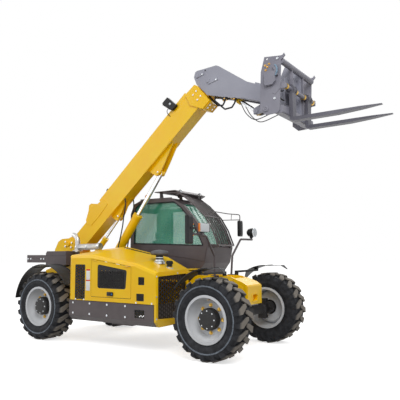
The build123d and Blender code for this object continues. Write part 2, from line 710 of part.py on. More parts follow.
with BuildPart() as front_fenders:
    for hand in (-1, 1):
        fender(WHEELBASE, FRONT_FENDER_R, 90, 145, hand)
    both_sides(FENDER_FLAT, side, FENDER_OUTER_Y, FENDER_OUTER_Y - FENDER_INNER_Y)
    for hand in (-1, 1):
        for corner_points in FENDER_CORNERS:
            with BuildSketch(Plane.XY.offset(900)) as cut:
                with BuildLine():
                    Polyline(*[at(x, hand * y, 0)[:2] for x, y in corner_points], close=True)
                make_face()
            extrude(cut.sketch, amount=500, mode=Mode.SUBTRACT)
    both_sides(FRONT_ARM, side, 880, 880 - 175)
    both_sides(((3190, 1160), (3190, 1205), (3250, 1226), (3250, 1160)), side, 880, 40)
    both_sides(box_corners(3190, 1120, 3250, 1162), side, FRAME_PLATE_Y, FRAME_PLATE_Y - 175)
write(front_fenders, "front_fenders")

# ---------------------------------------------------------------- mirror and lamp posts
POST_X = 3084.0
POST_R = 17.0
POST_BEND = 60.0
# points up each post: (ahead of the rear axle, sideways, height)
RIGHT_POST = (
    (POST_X, -253, 1124), (POST_X, -253, 1425), (POST_X, -485, 1725), (POST_X - 26, -700, 1750),
    (POST_X - 26, -819, 1750),
)
LEFT_POST = ((POST_X, 253, 1124), (POST_X, 290, 1425), (POST_X, 573, 1697), (POST_X, 975, 1697))
with BuildPart() as mirror_posts:
    for post in (RIGHT_POST, LEFT_POST):
        bent_tube([at(*point) for point in post], POST_R, POST_BEND)
    tube_between(at(POST_X - 13, -592, 1740), at(POST_X - 13, -592, 1770), 12)
    tube_between(at(POST_X, 953, 1697), at(POST_X, 953, 1720), 14)
    both_sides(box_corners(3044, 1040, 3124, 1118), side, FRAME_PLATE_Y + 8, 8)
    both_sides(box_corners(3044, 1118, 3124, 1130), side, 295, 295 - FRAME_PLATE_Y)
write(mirror_posts, "mirror_posts")


def tapered_block(x, y, z, back, face, depth, corner):
    """Housing that changes width and height evenly forward from its back to its face."""
    sections = []
    for at_x, size in ((x, back), (x + depth, face)):
        with BuildSketch(front(at_x)) as section:
            with Locations((y, z)):
                RectangleRounded(*size, corner)
        sections.append(section.sketch.face())
    loft(sections, ruled=True)


with BuildPart() as headlamps:
    tapered_block(3039, -592, 1849, (110, 84), (180, 138), 60, 20)
    with BuildSketch(front(3099)) as lamp_face:
        with Locations((-592, 1849)):
            RectangleRounded(180, 138, 20)
    extrude(lamp_face.sketch, amount=30)
    with Locations(at(POST_X - 13, -592, 1782)):
        Box(34, 34, 24)
    turned(((0, 0), (40, 0), (66, 26), (72, 60), (77, 70), (77, 141), (0, 141)), at(3014, 953, 1819),
        (1, 0, 0))
    with Locations(at(POST_X, 953, 1740)):
        Box(40, 40, 40)
write(headlamps, "headlamps")

# mirror housings: x of the glass side, sideways position, height, width, height of the housing
MIRROR_HOUSINGS = ((3040, -898, 1815, 158, 423), (2795, 1040, 1901, 129, 283))
with BuildPart() as mirrors:
    for x, y, z, width, high in MIRROR_HOUSINGS:
        with BuildSketch(front(x)) as housing:
            with Locations((y, z)):
                RectangleRounded(width, high, 28)
        extrude(housing.sketch, amount=35)
        tapered_block(x + 35, y, z, (width, high), (width - 50, high - 60), 18, 20)
        with BuildSketch(front(x)) as glass_seat:
            with Locations((y, z)):
                RectangleRounded(width - 16, high - 16, 22)
        extrude(glass_seat.sketch, amount=6, mode=Mode.SUBTRACT)
write(mirrors, "mirrors")

# ---------------------------------------------------------------- cab
CAB_OUTLINE = (
    (960, 720), (960, 2190), (1040, 2372), (1220, 2441), (1907, 2436), (2173, 2296), (2460, 1980),
    (2610, 1700), (2655, 1560), (2600, 1300), (2489, 1155), (2489, 720),
)
CAB_HOLLOW = (
    (1000, 760), (1000, 2180), (1070, 2345), (1230, 2401), (1893, 2396), (2145, 2266), (2425, 1958),
    (2570, 1685), (2613, 1562), (2562, 1316), (2449, 1170), (2449, 760),
)
SIDE_WINDOW = ((1050, 1650), (1085, 2300), (1170, 2370), (1960, 2370), (2120, 2260), (2390, 1955),
    (2570, 1600))
CAB_DOOR = ((1240, 780), (1240, 2350), (1890, 2350), (2110, 2230), (2370, 1940), (2400, 1860), (2400, 780))
CAB_HINGE = (1244.0, 1058.0)
CAB_HINGE_R = 12.0
CAB_HINGE_Z = (1000.0, 1460.0, 2080.0)
STEP_TOP = 640.0

with BuildPart() as cab_frame:
    slab(CAB_OUTLINE, side(CAB_LEFT_Y), CAB_LEFT_Y - CAB_RIGHT_Y)
    slab(CAB_HOLLOW, side(CAB_LEFT_Y - CAB_WALL), CAB_LEFT_Y - CAB_RIGHT_Y - 2 * CAB_WALL,
        mode=Mode.SUBTRACT)
    slab(SIDE_WINDOW, side(CAB_RIGHT_Y + 60), 120, mode=Mode.SUBTRACT, corner=14)
    slab(CAB_DOOR, side(CAB_LEFT_Y + 60), 120, mode=Mode.SUBTRACT)
    slab(
        ((2000, 1620), (2000, 2330), (2900, 2330), (2900, 1620)),
        side(CAB_LEFT_Y - 60), CAB_LEFT_Y - CAB_RIGHT_Y - 120, mode=Mode.SUBTRACT)
    slab(
        ((900, 1650), (900, 2250), (1060, 2250), (1060, 1650)),
        side(CAB_LEFT_Y - 60), CAB_LEFT_Y - CAB_RIGHT_Y - 120, mode=Mode.SUBTRACT)
    slab(((1250, 1560), (2640, 1560), (2596, 1330), (2200, 1390), (1250, 1500)), side(CAB_RIGHT_Y), 8)
    for y in (CAB_LEFT_Y, CAB_RIGHT_Y + 24):
        slab(((1180, 2441), (1200, 2456), (1900, 2452), (1907, 2436)), side(y), 24)
    slab(box_corners(1300, STEP_TOP - 20, 2050, STEP_TOP), side(1060), 200)
    slab(box_corners(1300, STEP_TOP - 240, 2050, STEP_TOP - 220), side(1060), 150)
    for x in (1300, 2034):
        slab(box_corners(x, STEP_TOP - 240, x + 16, 720), side(1060), 120)
    slab(box_corners(1300, STEP_TOP - 20, 2050, 720), side(880), 16)
write(cab_frame, "cab_frame")

GLASS = 6.0
with BuildPart() as cab_glass:
    slab(
        ((1957, 2402), (1962, 2407), (2166, 2290), (2452, 1974), (2603, 1696), (2646, 1560),
        (2640, 1558), (2597, 1693),
         (2446, 1971), (2161, 2284)), side(CAB_LEFT_Y - 62), CAB_LEFT_Y - CAB_RIGHT_Y - 124)
    slab(((960, 1621), (960, 2329), (2900, 2329), (2900, 1621)), side(CAB_LEFT_Y), CAB_LEFT_Y - CAB_RIGHT_Y,
         mode=Mode.INTERSECT)
    slab(SIDE_WINDOW, side(CAB_RIGHT_Y + 20), GLASS, corner=14)
    slab(((975, 1652), (975, 2248), (981, 2248), (981, 1652)), side(CAB_LEFT_Y - 62),
        CAB_LEFT_Y - CAB_RIGHT_Y - 124)
write(cab_glass, "cab_glass")


def inset_door(gap):
    """Door outline drawn in by a gap all round."""
    with BuildSketch(side(CAB_LEFT_Y)) as outline:
        with BuildLine():
            Polyline(*CAB_DOOR, close=True)
        make_face()
        offset(amount=-gap)
    return outline.sketch


with BuildPart() as cab_door:
    extrude(inset_door(8), amount=CAB_WALL)
    extrude(inset_door(70), amount=CAB_WALL, mode=Mode.SUBTRACT)
    slab(((1300, 1200), (1300, 1260), (2340, 1260), (2340, 1200)), side(CAB_LEFT_Y), CAB_WALL)
    slab(((1300, 840), (1300, 1210), (2340, 1210), (2340, 840)), side(CAB_LEFT_Y - 10), 8)
    for z in CAB_HINGE_Z:
        tube_between(at(*CAB_HINGE, z), at(*CAB_HINGE, z + 90), CAB_HINGE_R)
        slab(box_corners(CAB_HINGE[0], z, CAB_HINGE[0] + 70, z + 90), side(CAB_LEFT_Y + 8), 8)
        slab(box_corners(CAB_HINGE[0], z, CAB_HINGE[0] + 12, z + 90), side(CAB_LEFT_Y + 18), 18)
    slab(box_corners(2270, 1150, 2330, 1180), side(CAB_LEFT_Y + 30), 8)
    for x in (2270, 2318):
        slab(box_corners(x, 1150, x + 12, 1180), side(CAB_LEFT_Y + 30), 30)
write(cab_door, "cab_door")
with BuildPart() as cab_door_glass:
    slab(
        ((1316, 1266), (1316, 2274), (1866, 2274), (2060, 2166), (2300, 1908), (2324, 1846), (2324, 1266)),
        side(CAB_LEFT_Y - 15), GLASS)
write(cab_door_glass, "cab_door_glass")

# guard over the windscreen and roof: side view of its first bar; each further bar stands back a little
GUARD_PATH = ((1700, 2552), (2060, 2524), (2341, 2327), (2590, 2095), (2739, 1867), (2852, 1597))
GUARD_FIRST_Y = 232.0
GUARD_STEP = 111.0
GUARD_BARS = 8
GUARD_SET_BACK = 0.2
GUARD_BAR = 26.0
VISOR = (
    (1504, 2562), (1504, 2576), (1966, 2582), (2089, 2529), (2082, 2514), (1982, 2470), (1966, 2482),
    (2052, 2522),
    (1962, 2568),
)


def band(path, thick):
    """Closed outline of a flat bar of this thickness along a path."""
    upper = []
    lower = []
    for i, (x, z) in enumerate(path):
        before = path[max(i - 1, 0)]
        after = path[min(i + 1, len(path) - 1)]
        long = hypot(after[0] - before[0], after[1] - before[1])
        across = ((before[1] - after[1]) / long * thick / 2, (after[0] - before[0]) / long * thick / 2)
        upper.append((x + across[0], z + across[1]))
        lower.append((x - across[0], z - across[1]))
    return upper + lower[::-1]


def guard_point(i, y):
    """Point of the guard's path at this sideways position."""
    x, z = GUARD_PATH[i]
    return (x - (y - GUARD_FIRST_Y) * GUARD_SET_BACK if i else x, y, z)


with BuildPart() as roof_guard:
    for i in range(GUARD_BARS):
        y = GUARD_FIRST_Y + i * GUARD_STEP
        bar = [guard_point(j, y)[::2] for j in range(len(GUARD_PATH))]
        slab(band(bar, GUARD_BAR), side(y + 5), 10)
    last_y = GUARD_FIRST_Y + (GUARD_BARS - 1) * GUARD_STEP
    for i in (3, 5):
        tube_between(at(*guard_point(i, GUARD_FIRST_Y)), at(*guard_point(i, last_y)), 11)
    slab(VISOR, side(last_y + 5), last_y - GUARD_FIRST_Y + 10)
    for y in (320, 920):
        lug_x = guard_point(5, y)[0]
        slab(((2655.1, 1560), (2639, 1610), (lug_x, 1618), (lug_x, 1580), (2664, 1548)), side(y + 10), 20)
        slab(((1560, 2438.6), (1560, 2566), (1610, 2566), (1640, 2438.1)), side(y + 10), 20)
    arm_y = CAB_LEFT_Y
    wire_top = guard_point(2, last_y)
    bent_tube(
        [at(wire_top[0] + 60, last_y, 2240), at(2560, arm_y, 2178), at(2812, arm_y, 2150),
            at(2812, arm_y, 2042.5)], 8, 40)
    tube_between(at(2446, last_y, 2064), at(2812, arm_y, 2058), 7)
    tube_between(at(2640, 1025, 2061), at(2640, arm_y - 1, 2168), 5)
write(roof_guard, "roof_guard")

with BuildPart() as beacon:
    turned(((0, 0), (58, 0), (58, 22), (50, 26), (46, 84), (30, 104), (0, 108)), at(1280, 300, 2441),
        (0, 0, 1))
write(beacon, "beacon")

with BuildPart() as seat:
    slab(((1310, 1120), (1310, 1225), (1760, 1245), (1800, 1215), (1790, 1130)), side(880), 480, corner=24)
    slab(((1290, 1200), (1270, 1700), (1330, 1720), (1420, 1250), (1430, 1200)), side(860), 440, corner=24)
    slab(((1262, 1725), (1258, 1860), (1320, 1865), (1335, 1730)), side(760), 240, corner=20)
    slab(box_corners(1290, 1690, 1310, 1760), side(700), 120)
    slab(((1400, 790), (1400, 1125), (1720, 1125), (1720, 790)), side(820), 360, corner=30)
    for y in (900, 420):
        slab(((1380, 1380), (1380, 1430), (1680, 1440), (1690, 1400)), side(y), 40, corner=10)
        slab(box_corners(1400, 1180, 1440, 1400), side(y), 40)
write(seat, "seat")
with BuildPart() as steering_wheel:
    tube_between(at(2158, 640, 1150), at(2080, 640, 1420), 36)
    slab(box_corners(2120, 1160, 2200, 1190), side(670), 60)
    with BuildSketch(Plane(origin=at(2075, 640, 1440), z_dir=(-0.3, 0, 1))) as ring:
        Circle(190)
        Circle(160, mode=Mode.SUBTRACT)
        Rectangle(330, 40)
    extrude(ring.sketch, amount=14, both=True)
write(steering_wheel, "steering_wheel")
with BuildPart() as cab_floor:
    with Locations(at(1720, 620, 775)):
        Box(1420, 740, 28)
    slab(((1500, 790), (1500, 1240), (1560, 1280), (2180, 1330), (2250, 1290), (2250, 790)), side(400),
        150, corner=30)
    rod(side(345), (1960, 1345), 24, 60)
    slab(((2200, 800), (2200, 1180), (2420, 1240), (2420, 800)), side(860), 420, corner=20)
write(cab_floor, "cab_floor")

# ---------------------------------------------------------------- boom
BOOM_OUTLINE = (
    (60, 112), (219, 40), (BOOM_FRONT, BOOM_TOP), (BOOM_FRONT, BOOM_BOTTOM), (327, BOOM_BOTTOM), (-80, -98),
)
CAVITY_REAR = 215.0
CAVITY_HALF = BOOM_HALF_WIDTH - BOOM_WALL
COLLAR = 20.0
COLLAR_OUTLINE = ((3685, 75), (3913, 60), (3940, 0), (3930, -374), (3753, -379), (3625, -138))
COLLAR_BOLTS = ((3871, -59), (3789, -60), (3872, -190), (3790, -190))
CHIN = ((3690, BOOM_BOTTOM), (3757, -391), (3912, -393), (3925, -290), (3925, BOOM_BOTTOM))
REAR_DOUBLER = (
    (590, 40), (601, 69), (760, 153), (841, 226), (901, 218), (1017, 96), (1073, 85), (1180, 40),
    (1197, -85),
    (913, -109), (636, -103), (575, -5),
)
COMP_DOUBLER = ((985, BOOM_BOTTOM), (1205, -92), (1330, -112), (1555, -205), (1590, BOOM_BOTTOM))
LIFT_DOUBLER = ((2200, BOOM_BOTTOM), (2400, -105), (2510, -101), (2740, -113), (2946, -197),
    (2961, BOOM_BOTTOM))
LUG_FOOT = 9.0
# strips under the boom that carry the lugs: first and last place, distance from the centre line
LUG_FEET = ((1030, 1575, 39), (2200, 2955, 54))
GUARD_WALL_Y = 105.0
GUARD_TOP = 140.0

with BuildPart() as boom_outer:
    slab(BOOM_OUTLINE, along_boom(BOOM_HALF_WIDTH), 2 * BOOM_HALF_WIDTH)
    rod(along_boom(BOOM_HALF_WIDTH), (0, 0), 126, 2 * BOOM_HALF_WIDTH)
    slab(CHIN, along_boom(BOOM_HALF_WIDTH), 2 * BOOM_HALF_WIDTH)
    both_sides(COLLAR_OUTLINE, along_boom, BOOM_HALF_WIDTH + COLLAR, COLLAR)
    slab(box_corners(3700, BOOM_TOP, 3905, 62), along_boom(BOOM_HALF_WIDTH), 2 * BOOM_HALF_WIDTH)
    slab(
        box_corners(CAVITY_REAR, BOOM_BOTTOM + BOOM_WALL, BOOM_FRONT + 60, BOOM_TOP - BOOM_WALL),
        along_boom(CAVITY_HALF), 2 * CAVITY_HALF, mode=Mode.SUBTRACT)
    for y in (112, -22):
        slab(box_corners(3778, -400, 3896, -384), along_boom(y), 90, mode=Mode.SUBTRACT)
    for spot in COLLAR_BOLTS:
        for y in (BOOM_HALF_WIDTH + COLLAR + 8, -BOOM_HALF_WIDTH - COLLAR):
            rod(along_boom(y), spot, 13, 8)
    both_sides(REAR_DOUBLER, along_boom, BOOM_HALF_WIDTH + 8, 8)
    both_sides(COMP_DOUBLER, along_boom, BOOM_HALF_WIDTH + 6, 6)
    both_sides(LIFT_DOUBLER, along_boom, BOOM_HALF_WIDTH + 6, 6)
    for first, last, inner_y in LUG_FEET:
        both_sides(
            box_corners(first, BOOM_BOTTOM - LUG_FOOT, last, BOOM_BOTTOM), along_boom, BOOM_HALF_WIDTH,
            BOOM_HALF_WIDTH - inner_y)
    rod(along_boom(BOOM_HALF_WIDTH), (862, 172), 22, 2 * BOOM_HALF_WIDTH)
    both_sides(
        ((1060, BOOM_TOP), (1075, GUARD_TOP), (3690, GUARD_TOP), (3690, BOOM_TOP)), along_boom,
        GUARD_WALL_Y, 8)
    slab(box_corners(1230, 112, 3640, 118), along_boom(GUARD_WALL_Y - 8), 2 * GUARD_WALL_Y - 16)
    slab(box_corners(1120, BOOM_TOP, 1200, 150), along_boom(60), 120)
    rod(along_boom(BOSS_Y), (0, 0), 95, 2 * BOSS_Y)
    rod(along_boom(PIVOT_PIN_Y), (0, 0), PIVOT_PIN_R, 2 * PIVOT_PIN_Y)
write(boom_outer, "boom_outer")

LUG_ROOT = BOOM_BOTTOM - LUG_FOOT
COMP_LUG = (
    (1080, LUG_ROOT), (1077, -306), (1120, -427), (1165, -432), (1298, -393), (1504, -310), (1510, LUG_ROOT),
)
LIFT_LUG = (
    (2260, LUG_ROOT), (2262, -330), (2310, -470), (2350, -490), (2420, -488), (2600, -430),
    (2915, -312), (2935, LUG_ROOT),
)
# lug plates under the boom: outline, outer face's distance from the centre line, thickness, pin, pin head
LUG_PAIRS = (
    (COMP_LUG, 58, 18, (1201, -385), 26),
    (LIFT_LUG, 77, 22, (2386.5, -450), 36),
)
with BuildPart() as cylinder_lugs:
    for outline, outer_y, plate, pin, head_r in LUG_PAIRS:
        both_sides(outline, along_boom, outer_y, plate)
        rod(along_boom(outer_y + 9), pin, head_r, 9)
        rod(along_boom(-outer_y), pin, head_r, 9)
write(cylinder_lugs, "cylinder_lugs")

LAMP_OUTLINE = ((3325, 82), (3271, 338), (3414, 333), (3449, 82))
with BuildPart() as boom_lamp:
    slab(LAMP_OUTLINE, along_boom(-GUARD_WALL_Y), 62, corner=8)
    for i in range(5):
        slab(
            ((3306 - i * 11, 130 + i * 42), (3296 - i * 11, 150 + i * 42), (3340, 150 + i * 42),
            (3340, 130 + i * 42)),
            along_boom(-GUARD_WALL_Y - 6), 50)
write(boom_lamp, "boom_lamp")

INNER_HALF = 108.0
INNER_TOP = 2.0
INNER_BOTTOM = -257.0
with BuildPart() as boom_inner:
    slab(((260, INNER_BOTTOM), (260, INNER_TOP), (4045, INNER_TOP), (4045, INNER_BOTTOM)),
         along_boom(INNER_HALF), 2 * INNER_HALF)
    slab(((250, INNER_BOTTOM + 10), (250, INNER_TOP - 10), (4060, INNER_TOP - 10),
        (4060, INNER_BOTTOM + 10)),
         along_boom(INNER_HALF - 10), 2 * INNER_HALF - 20, mode=Mode.SUBTRACT)
write(boom_inner, "boom_inner")

# ---------------------------------------------------------------- boom head
HEAD_OUTLINE = (
    (2623, 4395), (2650, 4482), (2700, 4497), (2806, 4500), (3058, 4512), (3110, 4490), (3625, 4130),
    (3863, 4030),
    (4000, 3985), (4262, 3888), (4305, 3800), (4262, 3712), (4160, 3690), (3858, 3761), (3498, 3885),
    (2887, 4044),
    (2675, 4266),
)
HEAD_FRONT = (
    (3630, 4122), (3863, 4024), (4000, 3979), (4258, 3884), (4299, 3800), (4258, 3718), (4160, 3696),
    (3858, 3767),
    (3514, 3890), (3590, 3960), (3618, 4040),
)
HEAD_ROOF = (
    (2650, 4482), (2700, 4497), (2806, 4500), (3058, 4512), (3110, 4490), (3625, 4130), (3863, 4030),
    (3960, 3998),
    (3955, 3984), (3858, 4016), (3618, 4116), (3104, 4476), (3054, 4497), (2806, 4485), (2704, 4483),
    (2663, 4474),
)
HEAD_FLANGE = (
    (2960, 4038), (3176, 3981), (3501, 3897), (3814, 3789), (3810, 3777), (3498, 3885), (3173, 3969.5),
    (2957, 4026),
)
HEAD_PLATE = 16.0
HEAD_INNER = INNER_HALF
# pin keepers on the head's outer faces: pin and the bar's two ends
KEEPERS = (((2700, 4404), (2680, 4380), (2822, 4424)), (TILT_BARREL_PIN, (2910, 4236), (3089, 4280)))
HEAD_TAB = ((3768, 4060), (3768, 4094), (3856, 4056), (3856, 4022))
with BuildPart() as boom_head:
    both_sides(HEAD_OUTLINE, side, HEAD_INNER + HEAD_PLATE, HEAD_PLATE)
    both_sides(HEAD_FRONT, side, HEAD_INNER + HEAD_PLATE + 6, 6)
    both_sides(HEAD_TAB, side, HEAD_INNER + HEAD_PLATE, HEAD_PLATE)
    slab(HEAD_ROOF, side(HEAD_INNER), 2 * HEAD_INNER)
    both_sides(HEAD_FLANGE, side, HEAD_INNER, 34)
    outer = HEAD_INNER + HEAD_PLATE
    for pin, bar_start, bar_end in KEEPERS:
        rod(side(outer + 14), pin, 30, 14)
        rod(side(-outer), pin, 30, 14)
        both_sides(band((bar_start, bar_end), 34), side, outer + 10, 10)
    rod(side(HEAD_INNER), TILT_BARREL_PIN, 46, HEAD_INNER - 92)
    rod(side(-92), TILT_BARREL_PIN, 46, HEAD_INNER - 92)
    rod(side(outer), (2848, 4467), 15, 2 * outer, mode=Mode.SUBTRACT)
    rod(side(160), HEAD_PIVOT, 40, 320)
write(boom_head, "boom_head")

# ---------------------------------------------------------------- carriage and forks
FORK_PLATE_OUTLINE = (
    (4158, 4258), (4415, 4226), (4406, 4035), (4378, 3455), (4347, 3414), (4169, 3407), (4076, 3487),
    (4096, 4041),
)
CLAW = ((4396, 4228), (4436, 4228), (4462, 4256), (4478, 4222), (4440, 4180), (4404, 4160))
HITCH_CHEEK = (
    (4130, 3900), (4290, 4225), (4400, 4225), (4400, 3520), (4350, 3520), (4260, 3580), (4120, 3700),
)
TILT_ARM = (
    (3700, 3700), (3700, 3610), (3780, 3600), (4230, 3700), (4330, 3560), (4330, 4000), (4250, 3890),
    (4130, 3870),
)
TOP_TUBE = (4405.0, 4161.0)
FORK_SHAFT = (4440.0, 3800.0)
FORK_FRAME_Y = 578.0

with BuildPart() as hitch_frame:
    both_sides(HITCH_CHEEK, side, 162, 22)
    both_sides(TILT_ARM, side, 62, 24)
    both_sides(box_corners(4324, 3620, 4342, 4020), side, 300, 140)
    rod(side(74), TILT_ARM_PIN, 40, 12)
    rod(side(-62), TILT_ARM_PIN, 40, 12)
    slab(box_corners(4318, 3520, 4342, 4080), side(162), 324)
    rod(side(104), HEAD_PIVOT, 62, 208)
    rod(side(170), HEAD_PIVOT, 40 + PIN_GAP, 340, mode=Mode.SUBTRACT)
    rod(side(170), TOP_TUBE, 46, 340, mode=Mode.SUBTRACT)
write(hitch_frame, "hitch_frame")

BOTTOM_BEAM = ((4300, 3412), (4300, 3436), (4348, 3520), (4422, 3520), (4422, 3424), (4404, 3410))
PLATE_RIB = ((4278, 3707), (4311, 3682), (4398, 3759), (4392, 3772), (4312, 3700), (4284, 3720))
LATCH_BOX = ((4164, 3850), (4170, 4018), (4240, 4030), (4334, 4010), (4334, 3870), (4290, 3821),
    (4180, 3821))
LATCH_HOOK = ((4300, 4100), (4345, 4085), (4362, 4010), (4352, 3942), (4322, 3945), (4330, 4010),
    (4305, 4050))
with BuildPart() as fork_frame:
    both_sides(FORK_PLATE_OUTLINE, side, FORK_FRAME_Y, 18)
    both_sides(CLAW, side, FORK_FRAME_Y, 18)
    both_sides(PLATE_RIB, side, FORK_FRAME_Y + 4, 4)
    for y in (FORK_FRAME_Y + 6, -FORK_FRAME_Y):
        rod(side(y), (4167, 3496), 46, 6)
        rod(side(y), (4310, 3627), 17, 6)
        rod(side(y), (4362, 4196), 20, 6)
    rod(side(FORK_FRAME_Y + 10), (4195, 4222), 16, 2 * FORK_FRAME_Y + 20, mode=Mode.SUBTRACT)
    rod(side(FORK_FRAME_Y - 16), TOP_TUBE, 45, 2 * FORK_FRAME_Y - 32)
    rod(side(FORK_FRAME_Y - 16), FORK_SHAFT, 32, 2 * FORK_FRAME_Y - 32)
    slab(BOTTOM_BEAM, side(FORK_FRAME_Y - 16), 2 * FORK_FRAME_Y - 32)
    for y in (205, -185):
        slab(((4356, 3500), (4386, 4161), (4424, 4161), (4424, 3600), (4422, 3500)), side(y), 20)
    for y in (562, -530):
        slab(((4350, 3750), (4350, 3850), (4470, 3840), (4470, 3760)), side(y), 32)
    slab(LATCH_BOX, side(-FORK_FRAME_Y), 42, corner=8)
    slab(LATCH_HOOK, side(-FORK_FRAME_Y - 14), 18)
    tube_between(at(4330, -FORK_FRAME_Y - 20, 3960), at(4372, -FORK_FRAME_Y - 20, 3960), 15)
write(fork_frame, "fork_frame")

FORK_OUTLINE = (
    (4424, 3850), (4476, 3850), (4476, 3400), (4484, 3388), (5690, 3388), (5690, 3380), (5100, 3340),
    (4460, 3336),
    (4428, 3352), (4424, 3380),
)
FORK_HALF = 60.0
FORK_Y = 285.0
with BuildPart() as forks:
    for hand in (-1, 1):
        slab(FORK_OUTLINE, side(hand * FORK_Y + FORK_HALF), 2 * FORK_HALF)
        rod(side(hand * FORK_Y + FORK_HALF), FORK_SHAFT, 56, 2 * FORK_HALF)
        for edge in (-1, 1):
            with BuildSketch(Plane.XY.offset(3300)) as tip_cut:
                with BuildLine():
                    Polyline(
                        at(5420, hand * FORK_Y + edge * FORK_HALF, 0)[:2],
                            at(5700, hand * FORK_Y + edge * 26, 0)[:2],
                        at(5700, hand * FORK_Y + edge * (FORK_HALF + 5), 0)[:2], close=True)
                make_face()
            extrude(tip_cut.sketch, amount=120, mode=Mode.SUBTRACT)
    rod(side(400), FORK_SHAFT, 32.5, 800, mode=Mode.SUBTRACT)
write(forks, "forks")


# ---------------------------------------------------------------- cylinders
def lifted(pin_on_boom, drop):
    """Rest place of a rod's eye, a little below its pin on the boom."""
    return boom_point((pin_on_boom[0], pin_on_boom[1] - drop))


# name, base pin, rod eye, barrel and rod radius, barrel length, rod length, base eye and rod eye
# (radius, half width)
CYLINDERS = (
    ("lift", LIFT_BASE, lifted(LIFT_PIN_ON_BOOM, LIFT_EYE_DROP), 80, 40, 1806, 1880, (88, 84), (50, 50)),
    ("comp", COMP_BASE, lifted(COMP_PIN_ON_BOOM, COMP_EYE_DROP), 50, 26, 940, 940, (56, 84), (32, 34)),
    ("tilt", TILT_BARREL_PIN, TILT_ARM_PIN, 50, 30, 690, 775, (60, 90), (50, 34)),
)
GLAND_STEP = 6.0
GLAND_LENGTH = 60.0
for name, base, eye, barrel_r, rod_r, barrel_len, rod_len, base_eye, rod_eye in CYLINDERS:
    line = toward(base, eye)
    reach = hypot(eye[0] - base[0], eye[1] - base[1])
    with BuildPart() as barrel:
        tube_between(line.from_local_coords((0, 0, 0)), line.from_local_coords((barrel_len, 0, 0)), barrel_r)
        tube_between(
            line.from_local_coords((barrel_len - GLAND_LENGTH, 0, 0)),
                line.from_local_coords((barrel_len, 0, 0)),
            barrel_r + GLAND_STEP)
        tube_between(
            line.from_local_coords((60, 0, 0)), line.from_local_coords((barrel_len + 10, 0, 0)), rod_r + 0.2,
            mode=Mode.SUBTRACT)
        rod(line.offset(-base_eye[1]), (0, 0), base_eye[0], 2 * base_eye[1])
    write(barrel, f"{name}_barrel")
    with BuildPart() as piston_rod:
        tube_between(line.from_local_coords((reach - rod_len, 0, 0)),
            line.from_local_coords((reach, 0, 0)), rod_r)
        rod(toward(eye, (2 * eye[0] - base[0], 2 * eye[1] - base[1])).offset(-rod_eye[1]), (0, 0),
            rod_eye[0],
            2 * rod_eye[1])
    write(piston_rod, f"{name}_rod")

# hoses under the head, each from one fitting to the next: points (ahead, sideways, height)
HOSE_R = 13.0
HEAD_HOSES = (
    ((2882.1, -50, 4042.7), (3040, -50, 3860), (3140, -50, 3850), (3199.9, -88, 3897.7),
    (3215, -88, 3958.2)),
    ((3025, -88, 4008), (3007.4, -88, 3940), (3200, -88, 3765), (3330, -88, 3775), (3382.4, -88, 3841),
     (3400, -88, 3910)),
)
with BuildPart() as head_hoses:
    for hose in HEAD_HOSES:
        bent_tube([at(*point) for point in hose], HOSE_R, 28)
write(head_hoses, "head_hoses")
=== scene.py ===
import json
import math

import bpy
from mathutils import Matrix, Vector


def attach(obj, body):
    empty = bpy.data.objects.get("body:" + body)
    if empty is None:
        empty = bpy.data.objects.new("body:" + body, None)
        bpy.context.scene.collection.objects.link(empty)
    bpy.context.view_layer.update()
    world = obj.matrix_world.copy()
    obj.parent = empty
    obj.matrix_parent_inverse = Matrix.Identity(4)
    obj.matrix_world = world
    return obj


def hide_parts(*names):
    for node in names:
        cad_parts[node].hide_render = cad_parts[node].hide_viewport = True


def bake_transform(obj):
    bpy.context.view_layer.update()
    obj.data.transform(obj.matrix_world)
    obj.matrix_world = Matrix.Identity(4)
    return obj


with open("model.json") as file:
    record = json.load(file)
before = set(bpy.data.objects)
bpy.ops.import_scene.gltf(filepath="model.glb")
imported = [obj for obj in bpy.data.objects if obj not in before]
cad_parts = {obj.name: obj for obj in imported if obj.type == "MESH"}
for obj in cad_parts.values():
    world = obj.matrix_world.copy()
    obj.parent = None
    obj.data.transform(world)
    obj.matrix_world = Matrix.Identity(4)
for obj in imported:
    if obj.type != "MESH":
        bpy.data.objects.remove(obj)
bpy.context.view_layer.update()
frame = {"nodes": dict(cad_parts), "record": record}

NODES = frame["nodes"]
MM = 0.001

# The frame's origin is in the middle of the machine's length, this far ahead of the rear axle.
ORIGIN_AHEAD = 2.335
BOOM_ANGLE = 40.83
WHEELBASE = 3450
AXLE_HEIGHT = 570
WHEEL_SIDE = 907
AHEAD, LEFT, UP = Vector((1, 0, 0)), Vector((0, 1, 0)), Vector((0, 0, 1))


def spot(x, y, z):
    """Point given in millimetres, x ahead of the rear axle, as metres in the frame."""
    return Vector((x * MM - ORIGIN_AHEAD, y * MM, z * MM))


def boom_spot(along, y, up):
    """Point given in millimetres along the boom from its pivot and square to it."""
    cosine, sine = math.cos(math.radians(BOOM_ANGLE)), math.sin(math.radians(BOOM_ANGLE))
    return spot(-275 + along * cosine - up * sine, y, 1655 + along * sine + up * cosine)


# ---------------------------------------------------------------- camera
def add_camera():
    """Low view from ahead and to the right of the machine."""
    data = bpy.data.cameras.new("camera")
    data.sensor_width = 36.0
    data.lens = 45.81
    camera = bpy.data.objects.new("camera", data)
    bpy.context.scene.collection.objects.link(camera)
    azimuth, pitch, roll = math.radians(33.83), math.radians(5.855), math.radians(-0.30)
    turn = Matrix.Rotation(azimuth, 4, "Z") @ Matrix.Rotation(math.pi / 2 + pitch, 4, "X")
    camera.matrix_world = Matrix.Translation(spot(7304, -6945, 1484)) @ turn @ Matrix.Rotation(roll, 4, "Z")
    bpy.context.scene.camera = camera


add_camera()


